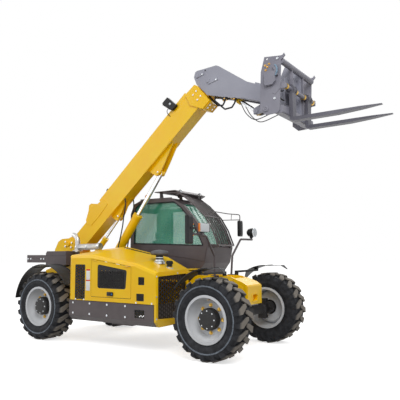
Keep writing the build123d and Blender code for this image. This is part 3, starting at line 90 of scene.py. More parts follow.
# ---------------------------------------------------------------- colours and nodes
def linear(code):
    """sRGB hex colour as linear RGBA."""
    values = [int(code[i:i + 2], 16) / 255 for i in (0, 2, 4)]
    return [v / 12.92 if v <= 0.04045 else ((v + 0.055) / 1.055) ** 2.4 for v in values] + [1.0]


def new_material(name, roughness=0.5, metallic=0.0):
    """A material, its node tree, its shader and the piece's own coordinates in metres."""
    material = bpy.data.materials.new(name)
    material.use_nodes = True
    tree = material.node_tree
    shader = tree.nodes["Principled BSDF"]
    shader.inputs["Roughness"].default_value = roughness
    shader.inputs["Metallic"].default_value = metallic
    return material, tree, shader, add_node(tree, "TexCoord").outputs["Object"]


def add_node(tree, kind, inputs=None, stops=(), **settings):
    """Adds a node with its settings; an input is a value or another node's output to link from."""
    made = tree.nodes.new("ShaderNode" + kind)
    for key, value in settings.items():
        setattr(made, key, value)
    for i, (position, code) in enumerate(stops):
        stop = made.color_ramp.elements[i] if i < 2 else made.color_ramp.elements.new(position)
        stop.position = position
        stop.color = linear(code)
    for key, value in (inputs or {}).items():
        if isinstance(value, bpy.types.NodeSocket):
            tree.links.new(value, made.inputs[key])
        else:
            made.inputs[key].default_value = value
    return made


# ---------------------------------------------------------------- finishes
def sprayed_enamel(name, light, dark, roughness, coat):
    """Two-pack enamel sprayed on steel: glossy, faint orange peel, rounded edges, dusty low down."""
    material, tree, shader, place = new_material(name, roughness)
    cloud = add_node(tree, "TexNoise", {"Vector": place, "Scale": 2.4, "Detail": 4.0})
    paint = add_node(tree, "ValToRGB", {"Fac": cloud.outputs["Fac"]}, ((0.35, dark), (0.65, light)))
    height = add_node(tree, "SeparateXYZ", {"Vector": place})
    low = add_node(tree, "MapRange", {
        "Value": height.outputs["Z"], "From Min": 0.35, "From Max": 0.85, "To Min": 0.12, "To Max": 0.0})
    patches = add_node(tree, "TexNoise", {"Vector": place, "Scale": 11.0, "Detail": 5.0})
    dust = add_node(tree, "Math", {0: low.outputs["Result"], 1: patches.outputs["Fac"]},
        operation="MULTIPLY")
    mixed = add_node(tree, "Mix", {0: dust.outputs[0], 6: paint.outputs["Color"], 7: linear("8C8478")},
        data_type="RGBA")
    tree.links.new(mixed.outputs[2], shader.inputs["Base Color"])
    worn = add_node(tree, "MapRange", {
        "Value": patches.outputs["Fac"], "To Min": roughness - 0.05, "To Max": roughness + 0.08})
    tree.links.new(worn.outputs["Result"], shader.inputs["Roughness"])
    shader.inputs["Specular IOR Level"].default_value = 0.3
    shader.inputs["Coat Weight"].default_value = coat
    shader.inputs["Coat Roughness"].default_value = 0.08
    # the film rounds a sheet's edges by about 1 mm; drawn 5 mm so that it shows
    rounded = add_node(tree, "Bevel", {"Radius": 0.005}, samples=4)
    # orange peel is about 1 mm across; drawn 6 mm across so that it shows
    peel = add_node(tree, "TexNoise", {"Vector": place, "Scale": 170.0, "Detail": 1.0})
    relief = add_node(tree, "Bump", {
        "Height": peel.outputs["Fac"], "Strength": 0.06, "Distance": 0.001,
        "Normal": rounded.outputs["Normal"]})
    tree.links.new(relief.outputs["Normal"], shader.inputs["Normal"])
    return material


def rough_skin(name, light, dark, roughness, patch, grain, relief_height, metallic=0.0, sheen=0.0):
    """Surface with a cloudy colour and a grain: rubber, moulded plastic, castings and bare metal.

    patch and grain are the sizes in millimetres of the colour's clouds and of the relief.
    """
    material, tree, shader, place = new_material(name, roughness, metallic)
    cloud = add_node(tree, "TexNoise", {"Vector": place, "Scale": 1 / (patch * MM), "Detail": 5.0})
    colour = add_node(tree, "ValToRGB", {"Fac": cloud.outputs["Fac"]}, ((0.35, dark), (0.68, light)))
    tree.links.new(colour.outputs["Color"], shader.inputs["Base Color"])
    worn = add_node(tree, "MapRange", {
        "Value": cloud.outputs["Fac"], "To Min": roughness - 0.07, "To Max": roughness + 0.1})
    tree.links.new(worn.outputs["Result"], shader.inputs["Roughness"])
    shader.inputs["Sheen Weight"].default_value = sheen
    shader.inputs["Specular IOR Level"].default_value = 0.5 if metallic else 0.25
    pits = add_node(tree, "TexNoise", {"Vector": place, "Scale": 1 / (grain * MM), "Detail": 3.0})
    relief = add_node(tree, "Bump", {"Height": pits.outputs["Fac"], "Strength": relief_height,
        "Distance": 0.001})
    tree.links.new(relief.outputs["Normal"], shader.inputs["Normal"])
    return material


def green_safety_glass():
    """Heat-absorbing safety glass: hard gloss, seen through with a green cast that deepens in patches."""
    material, tree, shader, place = new_material("green_safety_glass", 0.03)
    cloud = add_node(tree, "TexNoise", {"Vector": place, "Scale": 2.0})
    colour = add_node(tree, "ValToRGB", {"Fac": cloud.outputs["Fac"]}, ((0.35, "3FA58A"), (0.65, "66C6A8")))
    tree.links.new(colour.outputs["Color"], shader.inputs["Base Color"])
    shader.inputs["IOR"].default_value = 1.52
    shader.inputs["Alpha"].default_value = 0.38
    return material


def moulded_lens(name, light, dark, alpha, rib):
    """Moulded acrylic or polycarbonate lens: glossy, with moulded ribs this many millimetres apart."""
    material, tree, shader, place = new_material(name, 0.08)
    waves = add_node(tree, "TexWave", {"Vector": place, "Scale": 1 / (rib * MM * 6.28)}, bands_direction="Y")
    colour = add_node(tree, "ValToRGB", {"Fac": waves.outputs["Fac"]}, ((0.2, dark), (0.8, light)))
    tree.links.new(colour.outputs["Color"], shader.inputs["Base Color"])
    relief = add_node(tree, "Bump", {"Height": waves.outputs["Fac"], "Strength": 0.5, "Distance": 0.001})
    tree.links.new(relief.outputs["Normal"], shader.inputs["Normal"])
    shader.inputs["IOR"].default_value = 1.49
    shader.inputs["Coat Weight"].default_value = 0.5
    shader.inputs["Alpha"].default_value = alpha
    return material


def woven_cloth():
    """Woven polyester seat cloth: matt black with a fine weave that catches light at a low angle."""
    material, tree, shader, place = new_material("woven_seat_cloth", 0.9)
    # threads are 1.2 mm apart; drawn 4 mm apart so that they show
    weave = add_node(tree, "TexChecker", {"Vector": place, "Scale": 250.0, "Color1": linear("1D1E20"),
                                          "Color2": linear("303135")})
    tree.links.new(weave.outputs["Color"], shader.inputs["Base Color"])
    shader.inputs["Sheen Weight"].default_value = 0.3
    relief = add_node(tree, "Bump", {"Height": weave.outputs["Fac"], "Strength": 0.4, "Distance": 0.001})
    tree.links.new(relief.outputs["Normal"], shader.inputs["Normal"])
    return material


FINISH = {
    "yellow_paint": sprayed_enamel("sprayed_yellow_enamel", "FFD004", "FFC800", 0.34, 0.12),
    "dark_grey_paint": sprayed_enamel("sprayed_brown_grey_enamel", "5E5658", "524A4C", 0.45, 0.05),
    "light_grey_paint": sprayed_enamel("sprayed_lilac_grey_enamel", "A5A6B2", "9A9BA8", 0.40, 0.08),
    "mid_grey_paint": sprayed_enamel("sprayed_carriage_grey_enamel", "94939E", "858490", 0.42, 0.08),
    "fork_black_paint": sprayed_enamel("sprayed_fork_grey_enamel", "74737D", "62616B", 0.44, 0.05),
    "axle_paint": sprayed_enamel("sprayed_axle_black_enamel", "2B2B2D", "1F1F21", 0.5, 0.0),
    "wheel_paint": sprayed_enamel("sprayed_silver_white_rim_enamel", "DCDEE2", "CFD2D6", 0.34, 0.1),
    # carbon-black vulcanised rubber: matt, greyish with dust in the tread, finely pitted
    "tyre_rubber": rough_skin("carbon_black_tyre_rubber", "35363A", "1B1C1F", 0.72, 70, 9, 0.5),
    # sand-cast iron under thin grey paint: rough and oily
    "engine_iron": rough_skin("painted_sand_cast_iron", "4A4944", "2B2B2C", 0.6, 50, 4, 0.6),
    "grille_black": sprayed_enamel("powder_coated_black_mesh", "242223", "171616", 0.55, 0.0),
    # spark-eroded grain about 0.3 mm; drawn 4 mm so that it shows
    "black_plastic": rough_skin("moulded_black_polypropylene", "2C2C2E", "1F1F20", 0.48, 130, 4, 0.15),
    # corrugated stainless tube: soft metal shine, straw-coloured by heat in patches
    "exhaust_steel": rough_skin("stainless_exhaust_tube", "D3CFC6", "B4B4B6", 0.32, 80, 6, 0.15,
        metallic=1.0),
    # ground and polished hard chrome: mirror-bright
    "chromed_rod": rough_skin("hard_chrome_rod", "ECEEF0", "D2D6DB", 0.12, 25, 3, 0.02, metallic=1.0),
    "cab_glass": green_safety_glass(),
    "amber_lens": moulded_lens("amber_acrylic_lens", "FFA024", "E0700C", 1.0, 7),
    "lamp_black": rough_skin("moulded_black_nylon", "29292B", "19191B", 0.45, 60, 3, 0.15),
    # extruded hydraulic hose cover: satin black with a fine wrap marking
    "hose_rubber": rough_skin("hydraulic_hose_rubber", "2B2C30", "17181A", 0.5, 40, 3, 0.2),
    "seat_cloth": woven_cloth(),
}
# finishes of fittings that have no slot of their own
FITTING = {
    # bright zinc plate on steel fasteners: pale, slightly mottled
    "zinc": rough_skin("bright_zinc_plate", "E2E5E8", "C3C7CB", 0.35, 6, 2, 0.1, metallic=1.0),
    # yellow passivated zinc on the wheel nuts: brassy with a rainbow mottle
    "gold_zinc": rough_skin("yellow_passivated_zinc", "E3C069", "BC9440", 0.35, 5, 2, 0.1, metallic=1.0),
    # machined brass on hose fittings
    "brass": rough_skin("machined_brass", "E6C27A", "C59B50", 0.25, 8, 2, 0.05, metallic=1.0),
    # silvered mirror glass: its own face is almost a perfect reflector
    "mirror": rough_skin("silvered_mirror_glass", "E8ECEE", "DDE2E5", 0.05, 90, 50, 0.0, metallic=1.0),
    "clear_lens": moulded_lens("clear_polycarbonate_lens", "F2F6F8", "C9D2D8", 0.85, 9),
    "red_lens": moulded_lens("red_acrylic_lens", "E0241A", "A3120C", 1.0, 6),
    # printed vinyl film on the cover: smooth, very slightly creased
    "white_vinyl": rough_skin("white_vinyl_film", "F7F7F5", "ECECEA", 0.35, 30, 8, 0.05),
    "red_vinyl": rough_skin("red_vinyl_film", "F02B14", "DC220E", 0.35, 30, 8, 0.05),
    # dust packed in the sidewall's moulded line
    "dusty_band": rough_skin("dust_in_moulded_line", "8A929C", "6F7680", 0.75, 40, 4, 0.2),
    "blue_plastic": rough_skin("moulded_blue_nylon", "2E9BE6", "1E7FC6", 0.35, 10, 3, 0.1),
    # blued steel on the latch hook
    "blued_steel": rough_skin("blue_grey_oxided_steel", "8FA9BE", "6E879C", 0.35, 20, 4, 0.2),
}


def dress(name, material):
    """Gives a CAD node its finish."""
    slots = NODES[name].data.materials
    slots.clear()
    slots.append(material)


for row in frame["record"]["subparts"]:
    dress(row["node"], FINISH[row["material_slot"]])


# ---------------------------------------------------------------- shaping
def select_only(*things):
    bpy.ops.object.select_all(action="DESELECT")
    for thing in things:
        thing.select_set(True)
    bpy.context.view_layer.objects.active = things[0]


def settle(thing, name, body, slot, material=None):
    """Puts a finished piece's place into its mesh, names it, gives it its finish and fixes it to its body.

    A hose between two bodies has no body here; it is blended after.
    """
    select_only(thing)
    bpy.ops.object.transform_apply(location=True, rotation=True, scale=True)
    bpy.ops.object.shade_smooth_by_angle(angle=math.radians(35))
    thing.name = name
    thing.data.materials.clear()
    thing.data.materials.append(material or FINISH[slot])
    if body:
        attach(thing, body)


def joined(things):
    select_only(*things)
    bpy.ops.object.join()
    return things[0]


def pick_faces(thing, wanted):
    """Leaves the piece in edit mode with the faces selected whose middle and normal pass the test."""
    bpy.ops.object.mode_set(mode="EDIT")
    bpy.ops.mesh.select_mode(type="FACE")
    bpy.ops.mesh.select_all(action="DESELECT")
    bpy.ops.object.mode_set(mode="OBJECT")
    for face in thing.data.polygons:
        face.select = wanted(face.center, face.normal)
    bpy.ops.object.mode_set(mode="EDIT")


def block(centre, size, edge, turn=(0, 0, 0)):
    """Block with rounded edges; its size and edge in millimetres, its turn in degrees."""
    bpy.ops.object.select_all(action="DESELECT")
    bpy.ops.mesh.primitive_cube_add(size=1, location=centre,
        rotation=[math.radians(angle) for angle in turn])
    made = bpy.context.object
    made.scale = [length * MM for length in size]
    bpy.ops.object.transform_apply(location=False, rotation=False, scale=True)
    bpy.ops.object.mode_set(mode="EDIT")
    bpy.ops.mesh.select_all(action="SELECT")
    bpy.ops.mesh.bevel(offset=edge * MM, segments=2, affect="EDGES")
    bpy.ops.object.mode_set(mode="OBJECT")
    return made


def aim(thing, centre, towards):
    """Stands a piece made about the origin on a point, its own Z along a direction."""
    thing.matrix_world = Matrix.Translation(centre) @ Vector(towards).to_track_quat("Z",
        "Y").to_matrix().to_4x4()
    return thing


def disc(centre, towards, radius, thick, sides=32):
    """Round piece with chamfered rims, standing on its centre; sizes in millimetres."""
    bpy.ops.object.select_all(action="DESELECT")
    bpy.ops.mesh.primitive_cylinder_add(vertices=sides, radius=radius * MM, depth=thick * MM,
        location=(0, 0, thick * MM / 2))
    made = bpy.context.object
    bpy.ops.object.transform_apply(location=True, rotation=False, scale=False)
    pick_faces(made, lambda middle, normal: abs(normal.z) > 0.9)
    bpy.ops.mesh.bevel(offset=min(thick, radius) * MM * 0.18, segments=2, affect="EDGES")
    bpy.ops.object.mode_set(mode="OBJECT")
    return aim(made, centre, towards)


def hex_bolt(across, high):
    """Hexagon head on a round washer, standing at the origin."""
    washer = disc((0, 0, 0), UP, across * 0.75, high * 0.25, 20)
    head = disc((0, 0, high * 0.25 * MM), UP, across / math.sqrt(3), high * 0.75, 6)
    return joined([washer, head])


def copied(pattern, places):
    """The pattern at each (point, direction), joined into one piece."""
    made = []
    for centre, towards in places:
        twin = pattern.copy()
        twin.data = pattern.data.copy()
        bpy.context.scene.collection.objects.link(twin)
        made.append(aim(twin, centre, towards))
    bpy.data.objects.remove(pattern)
    return joined(made)


def turned(profile, centre, towards, steps=40, ring=False):
    """Turned piece from (radius, height) points in millimetres, spun about the direction through its centre.

    A profile starts and ends on the axis, or closes on itself as a ring's does.
    """
    mesh = bpy.data.meshes.new("profile")
    edges = [(i, i + 1) for i in range(len(profile) - 1)] + ([(len(profile) - 1, 0)] if ring else [])
    mesh.from_pydata([(radius * MM, 0, height * MM) for radius, height in profile], edges, [])
    made = bpy.data.objects.new("turned", mesh)
    bpy.context.scene.collection.objects.link(made)
    select_only(made)
    bpy.ops.object.mode_set(mode="EDIT")
    bpy.ops.mesh.select_all(action="SELECT")
    bpy.ops.mesh.spin(steps=steps, angle=2 * math.pi, center=(0, 0, 0), axis=(0, 0, 1))
    bpy.ops.mesh.select_all(action="SELECT")
    bpy.ops.mesh.remove_doubles(threshold=0.00005)
    bpy.ops.mesh.normals_make_consistent(inside=False)
    bpy.ops.object.mode_set(mode="OBJECT")
    return aim(made, centre, towards)


def tube(points, radius, closed=False):
    """Hose, seal or rail on a smooth line near its points, in metres; its radius in millimetres."""
    curve = bpy.data.curves.new("tube", "CURVE")
    curve.dimensions = "3D"
    curve.bevel_depth = radius * MM
    curve.bevel_resolution = 3
    curve.resolution_u = 6
    curve.use_fill_caps = True
    spline = curve.splines.new("NURBS")
    spline.points.add(len(points) - 1)
    for knot, point in zip(spline.points, points):
        knot.co = (*point, 1.0)
    spline.order_u = 3
    spline.use_cyclic_u = closed
    spline.use_endpoint_u = not closed
    made = bpy.data.objects.new("tube", curve)
    bpy.context.scene.collection.objects.link(made)
    select_only(made)
    bpy.ops.object.convert(target="MESH")
    return bpy.context.object


def rounded_line(points, back=0.03):
    """Points of a closed outline, two near each corner, so that a smooth line keeps its straight sides."""
    line = []
    for i, point in enumerate(points):
        before, after = points[i - 1], points[(i + 1) % len(points)]
        line += [point + (before - point).normalized() * back, point,
            point + (after - point).normalized() * back]
    return line


def bolts(name, body, slot, across, high, places, material="zinc"):
    """Hexagon bolts or nuts at each (point, direction) as one piece."""
    settle(copied(hex_bolt(across, high), places), name, body, slot,
        FITTING.get(material) or FINISH[material])


OUT = Vector((0, -1, 0))

# ---------------------------------------------------------------- wheels
# metres: radius of each ring of fasteners, and how far outward from the wheel's middle it is seated
NUT_RING, NUT_SEAT = 0.188, 0.029
SCREW_RING, SCREW_SEAT = 0.116, 0.1365
VALVE_RING, VALVE_SEAT = 0.262, 0.045
# millimetres, (radius, reach outward from the wheel's middle): dish, step, barrel, flanges and back
RIM_PROFILE = (
    (118, 33), (225, 27), (262, 53), (290, 120), (299, 160), (299, 183), (334, 183), (334, 170), (309,
        168), (298, 150),
    (298, -150), (309, -168), (334, -170), (334, -183), (299, -183), (282, -150), (276, 60), (256,
        4), (225, -18), (118, -18),
)


def dusty_tyre(wheel, middle):
    """One tyre's rubber: near black on the sidewall, grey-brown dust worn onto the tops of the lugs."""
    material, tree, shader, place = new_material(wheel + "_tyre_rubber", 0.74)
    centred = add_node(tree, "Mapping",
        {"Vector": place, "Location": (-middle.x, 0, -middle.z), "Scale": (1, 0, 1)})
    reach = add_node(tree, "VectorMath", {0: centred.outputs["Vector"]}, operation="LENGTH")
    top = add_node(tree, "MapRange",
        {"Value": reach.outputs["Value"], "From Min": 0.540, "From Max": 0.562, "To Max": 0.8})
    cloud = add_node(tree, "TexNoise", {"Vector": place, "Scale": 14.0, "Detail": 5.0})
    rubber = add_node(tree, "ValToRGB", {"Fac": cloud.outputs["Fac"]}, ((0.35, "1C1D20"), (0.68, "35363A")))
    worn = add_node(tree, "Mix", {0: top.outputs["Result"], 6: rubber.outputs["Color"],
        7: linear("8F887F")}, data_type="RGBA")
    tree.links.new(worn.outputs[2], shader.inputs["Base Color"])
    shader.inputs["Specular IOR Level"].default_value = 0.25
    pits = add_node(tree, "TexNoise", {"Vector": place, "Scale": 110.0, "Detail": 3.0})
    relief = add_node(tree, "Bump", {"Height": pits.outputs["Fac"], "Strength": 0.5, "Distance": 0.001})
    tree.links.new(relief.outputs["Normal"], shader.inputs["Normal"])
    return material


for wheel, axle_x, hand in (
    ("rear_right", 0, -1), ("rear_left", 0, 1), ("front_right", WHEELBASE, -1), ("front_left", WHEELBASE, 1),
):
    outward = Vector((0, hand, 0))
    middle = spot(axle_x, hand * WHEEL_SIDE, AXLE_HEIGHT)
    body = wheel + "_wheel"
    spokes = [Vector((math.cos(math.radians(45 * i)), 0, math.sin(math.radians(45 * i)))) for i in range(8)]
    dress(wheel + "_tyre", dusty_tyre(wheel, middle))
    rim = turned(RIM_PROFILE, middle, outward, 64, ring=True)
    settle(rim, wheel + "_dished_rim", body, "wheel_paint")
    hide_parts(wheel + "_rim")
    nut = joined([hex_bolt(36.4, 24), disc((0, 0, 0.02), UP, 10, 12, 16)])
    nuts = copied(nut, [(middle + outward * NUT_SEAT + ray * NUT_RING, outward) for ray in spokes])
    settle(nuts, wheel + "_nuts", body, "wheel_paint", FITTING["gold_zinc"])
    cap = turned([(0, 34), (153, 34), (153, 100), (142, 130), (136, 133), (96, 141.5), (78, 141.5),
        (72, 146), (0, 147)],
                 middle, outward)
    settle(cap, wheel + "_hub_cap", body, "axle_paint")
    screws = [(middle + outward * SCREW_SEAT + ray * SCREW_RING, outward) for ray in spokes]
    bolts(wheel + "_hub_screws", body, "axle_paint", 13, 7, screws)
    valve = disc(middle + outward * VALVE_SEAT + spokes[2] * VALVE_RING, outward, 6, 62, 16)
    settle(valve, wheel + "_valve", body, "wheel_paint", FITTING["brass"])
    bands = [turned([(radius - 5, 0), (radius - 2, 4), (radius + 2, 4), (radius + 5, 0), (radius, -6)],
                    middle + outward * reach, outward, 64, ring=True) for radius, reach in ((448,
                        0.2005), (458, 0.2005))]
    settle(joined(bands), wheel + "_sidewall_bands", body, "tyre_rubber", FITTING["dusty_band"])

# ---------------------------------------------------------------- cover's end beside the cab
bridge = joined([block(spot(2455, -22, 1192), (250, 434, 44), 14),
    block(spot(2572, -22, 1150), (16, 434, 116), 6)])
settle(bridge, "cover_bridge", "chassis", "yellow_paint")

# ---------------------------------------------------------------- bolts on the body and the boom
skirt_row = [(840 + 380 * i, z) for i in range(4) for z in (676, 512)]
bolts("skirt_bolts", "chassis", "dark_grey_paint", 22, 9, [(spot(x, -1059, z), OUT) for x, z in skirt_row])
bolts("cover_edge_bolts", "chassis", "dark_grey_paint", 19, 8,
      [(spot(x, -1061, z), OUT) for x, z in ((898, 736), (1088, 736), (2200, 736), (2500, 736))])
front_row = [(-1047, 1130), (-1047, 837), (-1047, 520), (-532, 1160), (-262, 1130), (-262, 837), (-262, 520)]
bolts("front_cover_bolts", "chassis", "dark_grey_paint", 19, 8,
    [(spot(2580, y, z), AHEAD) for y, z in front_row])
collar_row = [(3871, -59), (3789, -60), (3872, -190), (3790, -190)]
bolts("collar_bolts", "boom", "yellow_paint", 20, 10,
      [(boom_spot(a, side * 160, up), Vector((0, side, 0))) for a, up in collar_row for side in (-1, 1)])
down_from_boom = Vector((math.sin(math.radians(BOOM_ANGLE)), 0, -math.cos(math.radians(BOOM_ANGLE))))
bolts("wear_pad_bolts", "boom", "yellow_paint", 20, 9,
      [(boom_spot(a, y, -384), down_from_boom) for a in (3806, 3868) for y in (-67, 67)])
bolts("pivot_plate_bolts", "chassis", "dark_grey_paint", 26, 13,
      [(spot(x, -208, z), OUT) for x, z in ((-342, 1697), (-167, 1676), (-344, 1610), (-180, 1590))])
bolts("keeper_bolts", "inner_boom", "light_grey_paint", 20, 10,
      [(spot(x, side * 134, z), Vector((0, side, 0))) for x,
          z in ((2796, 4416), (3062, 4273)) for side in (-1, 1)])
bolts("lug_pin_bolts", "boom", "yellow_paint", 20, 9,
      [(boom_spot(a, side * y, up), Vector((0, side, 0)))
       for a, y, up in ((1201, 67, -385), (2386.5, 86, -450)) for side in (-1, 1)])
bolts("rear_plate_bolts", "chassis", "dark_grey_paint", 22, 10,
    [(spot(x, -566, 1375), OUT) for x in (-980, -900, -600, -520)])
bolts("fork_plate_bolts", "carriage", "mid_grey_paint", 24, 12,
      [(spot(x, side * 584, z), Vector((0, side, 0))) for x,
          z in ((4310, 3627), (4362, 4196)) for side in (-1, 1)])
bolts("mirror_post_bolts", "chassis", "axle_paint", 17, 8,
      [(spot(x, side * 204, 1080), Vector((0, side, 0))) for x in (3058, 3110) for side in (-1, 1)])

for name, body, slot, centre, side, radius in (
    ("pivot_pin_cap", "boom", "yellow_paint", (-275, 215, 1655), 1, 46),
    ("pivot_pin_cap", "boom", "yellow_paint", (-275, -215, 1655), -1, 46),
    ("head_pin_cap", "inner_boom", "light_grey_paint", (4200, 160, 3800), 1, 40),
    ("head_pin_cap", "inner_boom", "light_grey_paint", (4200, -160, 3800), -1, 40),
    ("plate_boss_cap", "carriage", "mid_grey_paint", (4167, 584, 3496), 1, 38),
    ("plate_boss_cap", "carriage", "mid_grey_paint", (4167, -584, 3496), -1, 38),
):
    profile = [(0, -4), (radius + 1, -4), (radius + 1, 1), (radius - 5, 7), (radius * 0.5, 7),
        (radius * 0.44, 3), (9, 3), (8, 12), (0, 13)]
    cap = turned(profile, spot(*centre), Vector((0, side, 0)))
    settle(cap, "%s_%s" % (name, "left" if side > 0 else "right"), body, slot)

# painted eyes at the ends of the polished rods: name, body, place, radius, half width
for name, body, centre, radius, half in (
    ("lift_rod_eye", "lift_rod", boom_spot(2386.5, 0, -470), 51, 50.5),
    ("comp_rod_eye", "comp_rod", boom_spot(1201, 0, -392), 33, 34.5),
    ("tilt_rod_eye", "tilt_rod", spot(3741, 0, 3653), 51, 34.5),
):
    eye = turned([(0, -half), (radius - 6, -half), (radius, -half + 6), (radius, half - 6),
        (radius - 6, half), (0, half)], centre, LEFT)
    settle(eye, name, body, "yellow_paint")

# ---------------------------------------------------------------- engine cover fittings
for name, x, z, wide, high, material in (
    ("upper_plate", 1179, 1123, 84, 147, "white_vinyl"), ("upper_band", 1179, 1209, 84, 25, "red_vinyl"),
    ("lower_plate", 1176, 955, 92, 151, "white_vinyl"), ("lower_band", 1176, 1041, 92, 19, "red_vinyl"),
):
    settle(block(spot(x, -1061.5, z), (wide, 3, high), 1), "blank_" + name, "chassis",
        "light_grey_paint", FITTING[material])
settle(block(spot(3520, -231, 905), (70, 3, 42), 1), "blank_nose_plate", "chassis", "light_grey_paint",
    FITTING["white_vinyl"])

paddle = joined([block(spot(1673, -1073, 845), (129, 14, 60), 6),
    block(spot(1655, -1081, 845), (60, 6, 34), 2.5)])
settle(paddle, "door_latch", "engine_door", "lamp_black")
settle(disc(spot(1719, -1080, 843), OUT, 10, 5, 24), "latch_button", "engine_door", "lamp_black",
    FITTING["blue_plastic"])

cleaner_base = turned([(0, 1305), (90, 1305), (90, 1342), (84, 1348), (68, 1352), (66, 1372), (0, 1372)],
    spot(2278, -600, 0), UP)
settle(cleaner_base, "pre_cleaner_base", "chassis", "black_plastic", FITTING["zinc"])
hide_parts("pre_cleaner")
cleaner_neck = turned([(0, 1370), (64, 1370), (64, 1384), (59, 1390), (59, 1446), (0, 1446)],
    spot(2278, -600, 0), UP)
settle(cleaner_neck, "pre_cleaner_neck", "chassis", "black_plastic")
clamp = joined([
    turned([(60, 1396), (65, 1396), (65, 1410), (60, 1410)], spot(2278, -600, 0), UP, ring=True),
    block(spot(2278, -669, 1403), (16, 14, 12), 2)])
settle(clamp, "pre_cleaner_clamp", "chassis", "black_plastic", FITTING["zinc"])
cleaner_cap = turned(
    [(0, 1440), (60, 1440), (116, 1444), (136, 1453), (143, 1464), (143, 1480), (137, 1493), (118, 1507),
        (96, 1513), (92, 1511),
     (88, 1515), (50, 1523), (24, 1524), (20, 1528), (0, 1528)], spot(2278, -600, 0), UP, 48)
settle(cleaner_cap, "pre_cleaner_cap", "chassis", "black_plastic", rough_skin(
    "moulded_grey_polypropylene", "6E6E72", "5C5C60", 0.45, 90, 4, 0.15))
vane = block((0, 0, 0), (4, 26, 34), 1)
vanes = [(spot(2278, -600, 1459) + Vector((math.cos(a), math.sin(a), 0)) * 0.132,
    Vector((-math.sin(a), math.cos(a), 0)))
         for a in [math.radians(15 * i) for i in range(24)]]
settle(copied(vane, vanes), "pre_cleaner_vanes", "chassis", "black_plastic")
slope = Vector((0.37, 0, 0.93)).normalized()
filler_base = turned([(0, -8), (58, -8), (58, 10), (52, 15), (0, 15)], spot(2478, -600, 1245), slope)
settle(filler_base, "filler_neck", "chassis", "black_plastic", FITTING["zinc"])
filler = turned([(0, 1262), (42, 1262), (42, 1300), (50, 1304), (52, 1340), (46, 1352), (22, 1356),
    (0, 1356)],
                spot(2478, -600, 0), UP, 24)
settle(filler, "filler_cap", "chassis", "black_plastic")
grips = [(spot(2478, -600, 1322) + Vector((math.cos(a), math.sin(a), 0)) * 0.051,
    Vector((math.cos(a), math.sin(a), 0)))
         for a in [math.radians(30 * i) for i in range(12)]]
settle(copied(block((0, 0, 0), (9, 34, 8), 2.5), grips), "filler_cap_grips", "chassis", "black_plastic")
for i, x in enumerate((212, 480, 742)):
    band = joined([
        turned([(57, -9), (60, -9), (60, 9), (57, 9)], spot(x, -400, 1586 + (x - 200) * 0.02),
            Vector((1, 0, 0.02)), ring=True),
        block(spot(x, -462, 1586 + (x - 200) * 0.02), (16, 12, 18), 3)])
    settle(band, "exhaust_clamp_%d" % i, "chassis", "exhaust_steel", FITTING["zinc"])
rain_ring = turned([(46, -14), (49, -14), (49, 0), (46, 0)], spot(205, -400, 1690), UP, ring=True)
settle(rain_ring, "exhaust_joint_ring", "chassis", "exhaust_steel")

# ---------------------------------------------------------------- lamps
lens = joined([block(spot(3131, -592, 1849), (14, 236, 128), 5),
    block(spot(3138, -592, 1849), (4, 200, 100), 1.8)])
settle(lens, "right_headlamp_lens", "chassis", "lamp_black", FITTING["clear_lens"])
side_lens = block(spot(3122, -728, 1849), (30, 32, 124), 7)
settle(side_lens, "right_indicator", "chassis", "amber_lens")
settle(block(spot(3131, -462, 1849), (10, 20, 122), 4), "right_headlamp_end", "chassis", "black_plastic")
dome = turned([(0, -4), (72, -4), (72, 2), (60, 7), (34, 12), (0, 14)], spot(3152, 953, 1819), AHEAD)
settle(dome, "left_headlamp_lens", "chassis", "lamp_black", FITTING["clear_lens"])
bezel = turned([(70, 0), (79, 0), (79, 9), (74, 12), (70, 9)], spot(3147, 953, 1819), AHEAD, ring=True)
settle(bezel, "left_headlamp_bezel", "chassis", "lamp_black", FITTING["zinc"])

for name, centre, towards, radius in (
    ("roof_lamp_right", (2030, 300, 2548), (0.93, -0.1, 0.3), 38), ("roof_lamp_left", (2040, 900, 2540),
        (0.93, 0.1, 0.3), 38),
    ("roof_lamp_low", (2010, 620, 2512), (0.95, 0, -0.2), 34), ("roof_lamp_rear", (1520, 960, 2560),
        (-1, 0, 0), 32),
):
    shell = turned([(0, -34), (radius * 0.5, -32), (radius * 0.9, -16), (radius, 0), (radius, 14),
        (radius - 5, 16), (radius - 6, 9), (0, 9)],
                   spot(*centre), Vector(towards))
    settle(shell, name, "chassis", "lamp_black")
    glass = turned([(0, 8), (radius - 6, 8), (radius - 8, 13), (radius * 0.5, 17), (0, 18)],
        spot(*centre), Vector(towards))
    settle(glass, name + "_lens", "chassis", "lamp_black", FITTING["clear_lens"])

settle(disc(boom_spot(3380, -166, 192), OUT, 21, 12), "boom_lamp_lens", "boom", "lamp_black",
    FITTING["clear_lens"])
cable = tube([boom_spot(3312, -130, 178), boom_spot(3262, -134, 190), boom_spot(3226, -130, 165),
    boom_spot(3212, -116, 110),
              boom_spot(3218, -100, 66)], 6)
settle(cable, "boom_lamp_cable", "boom", "hose_rubber")
skirt_ring = turned([(52, -2), (62, -2), (62, 18), (59, 23), (52, 23)], spot(1280, 300, 2443), UP, ring=True)
settle(skirt_ring, "beacon_base", "chassis", "lamp_black")

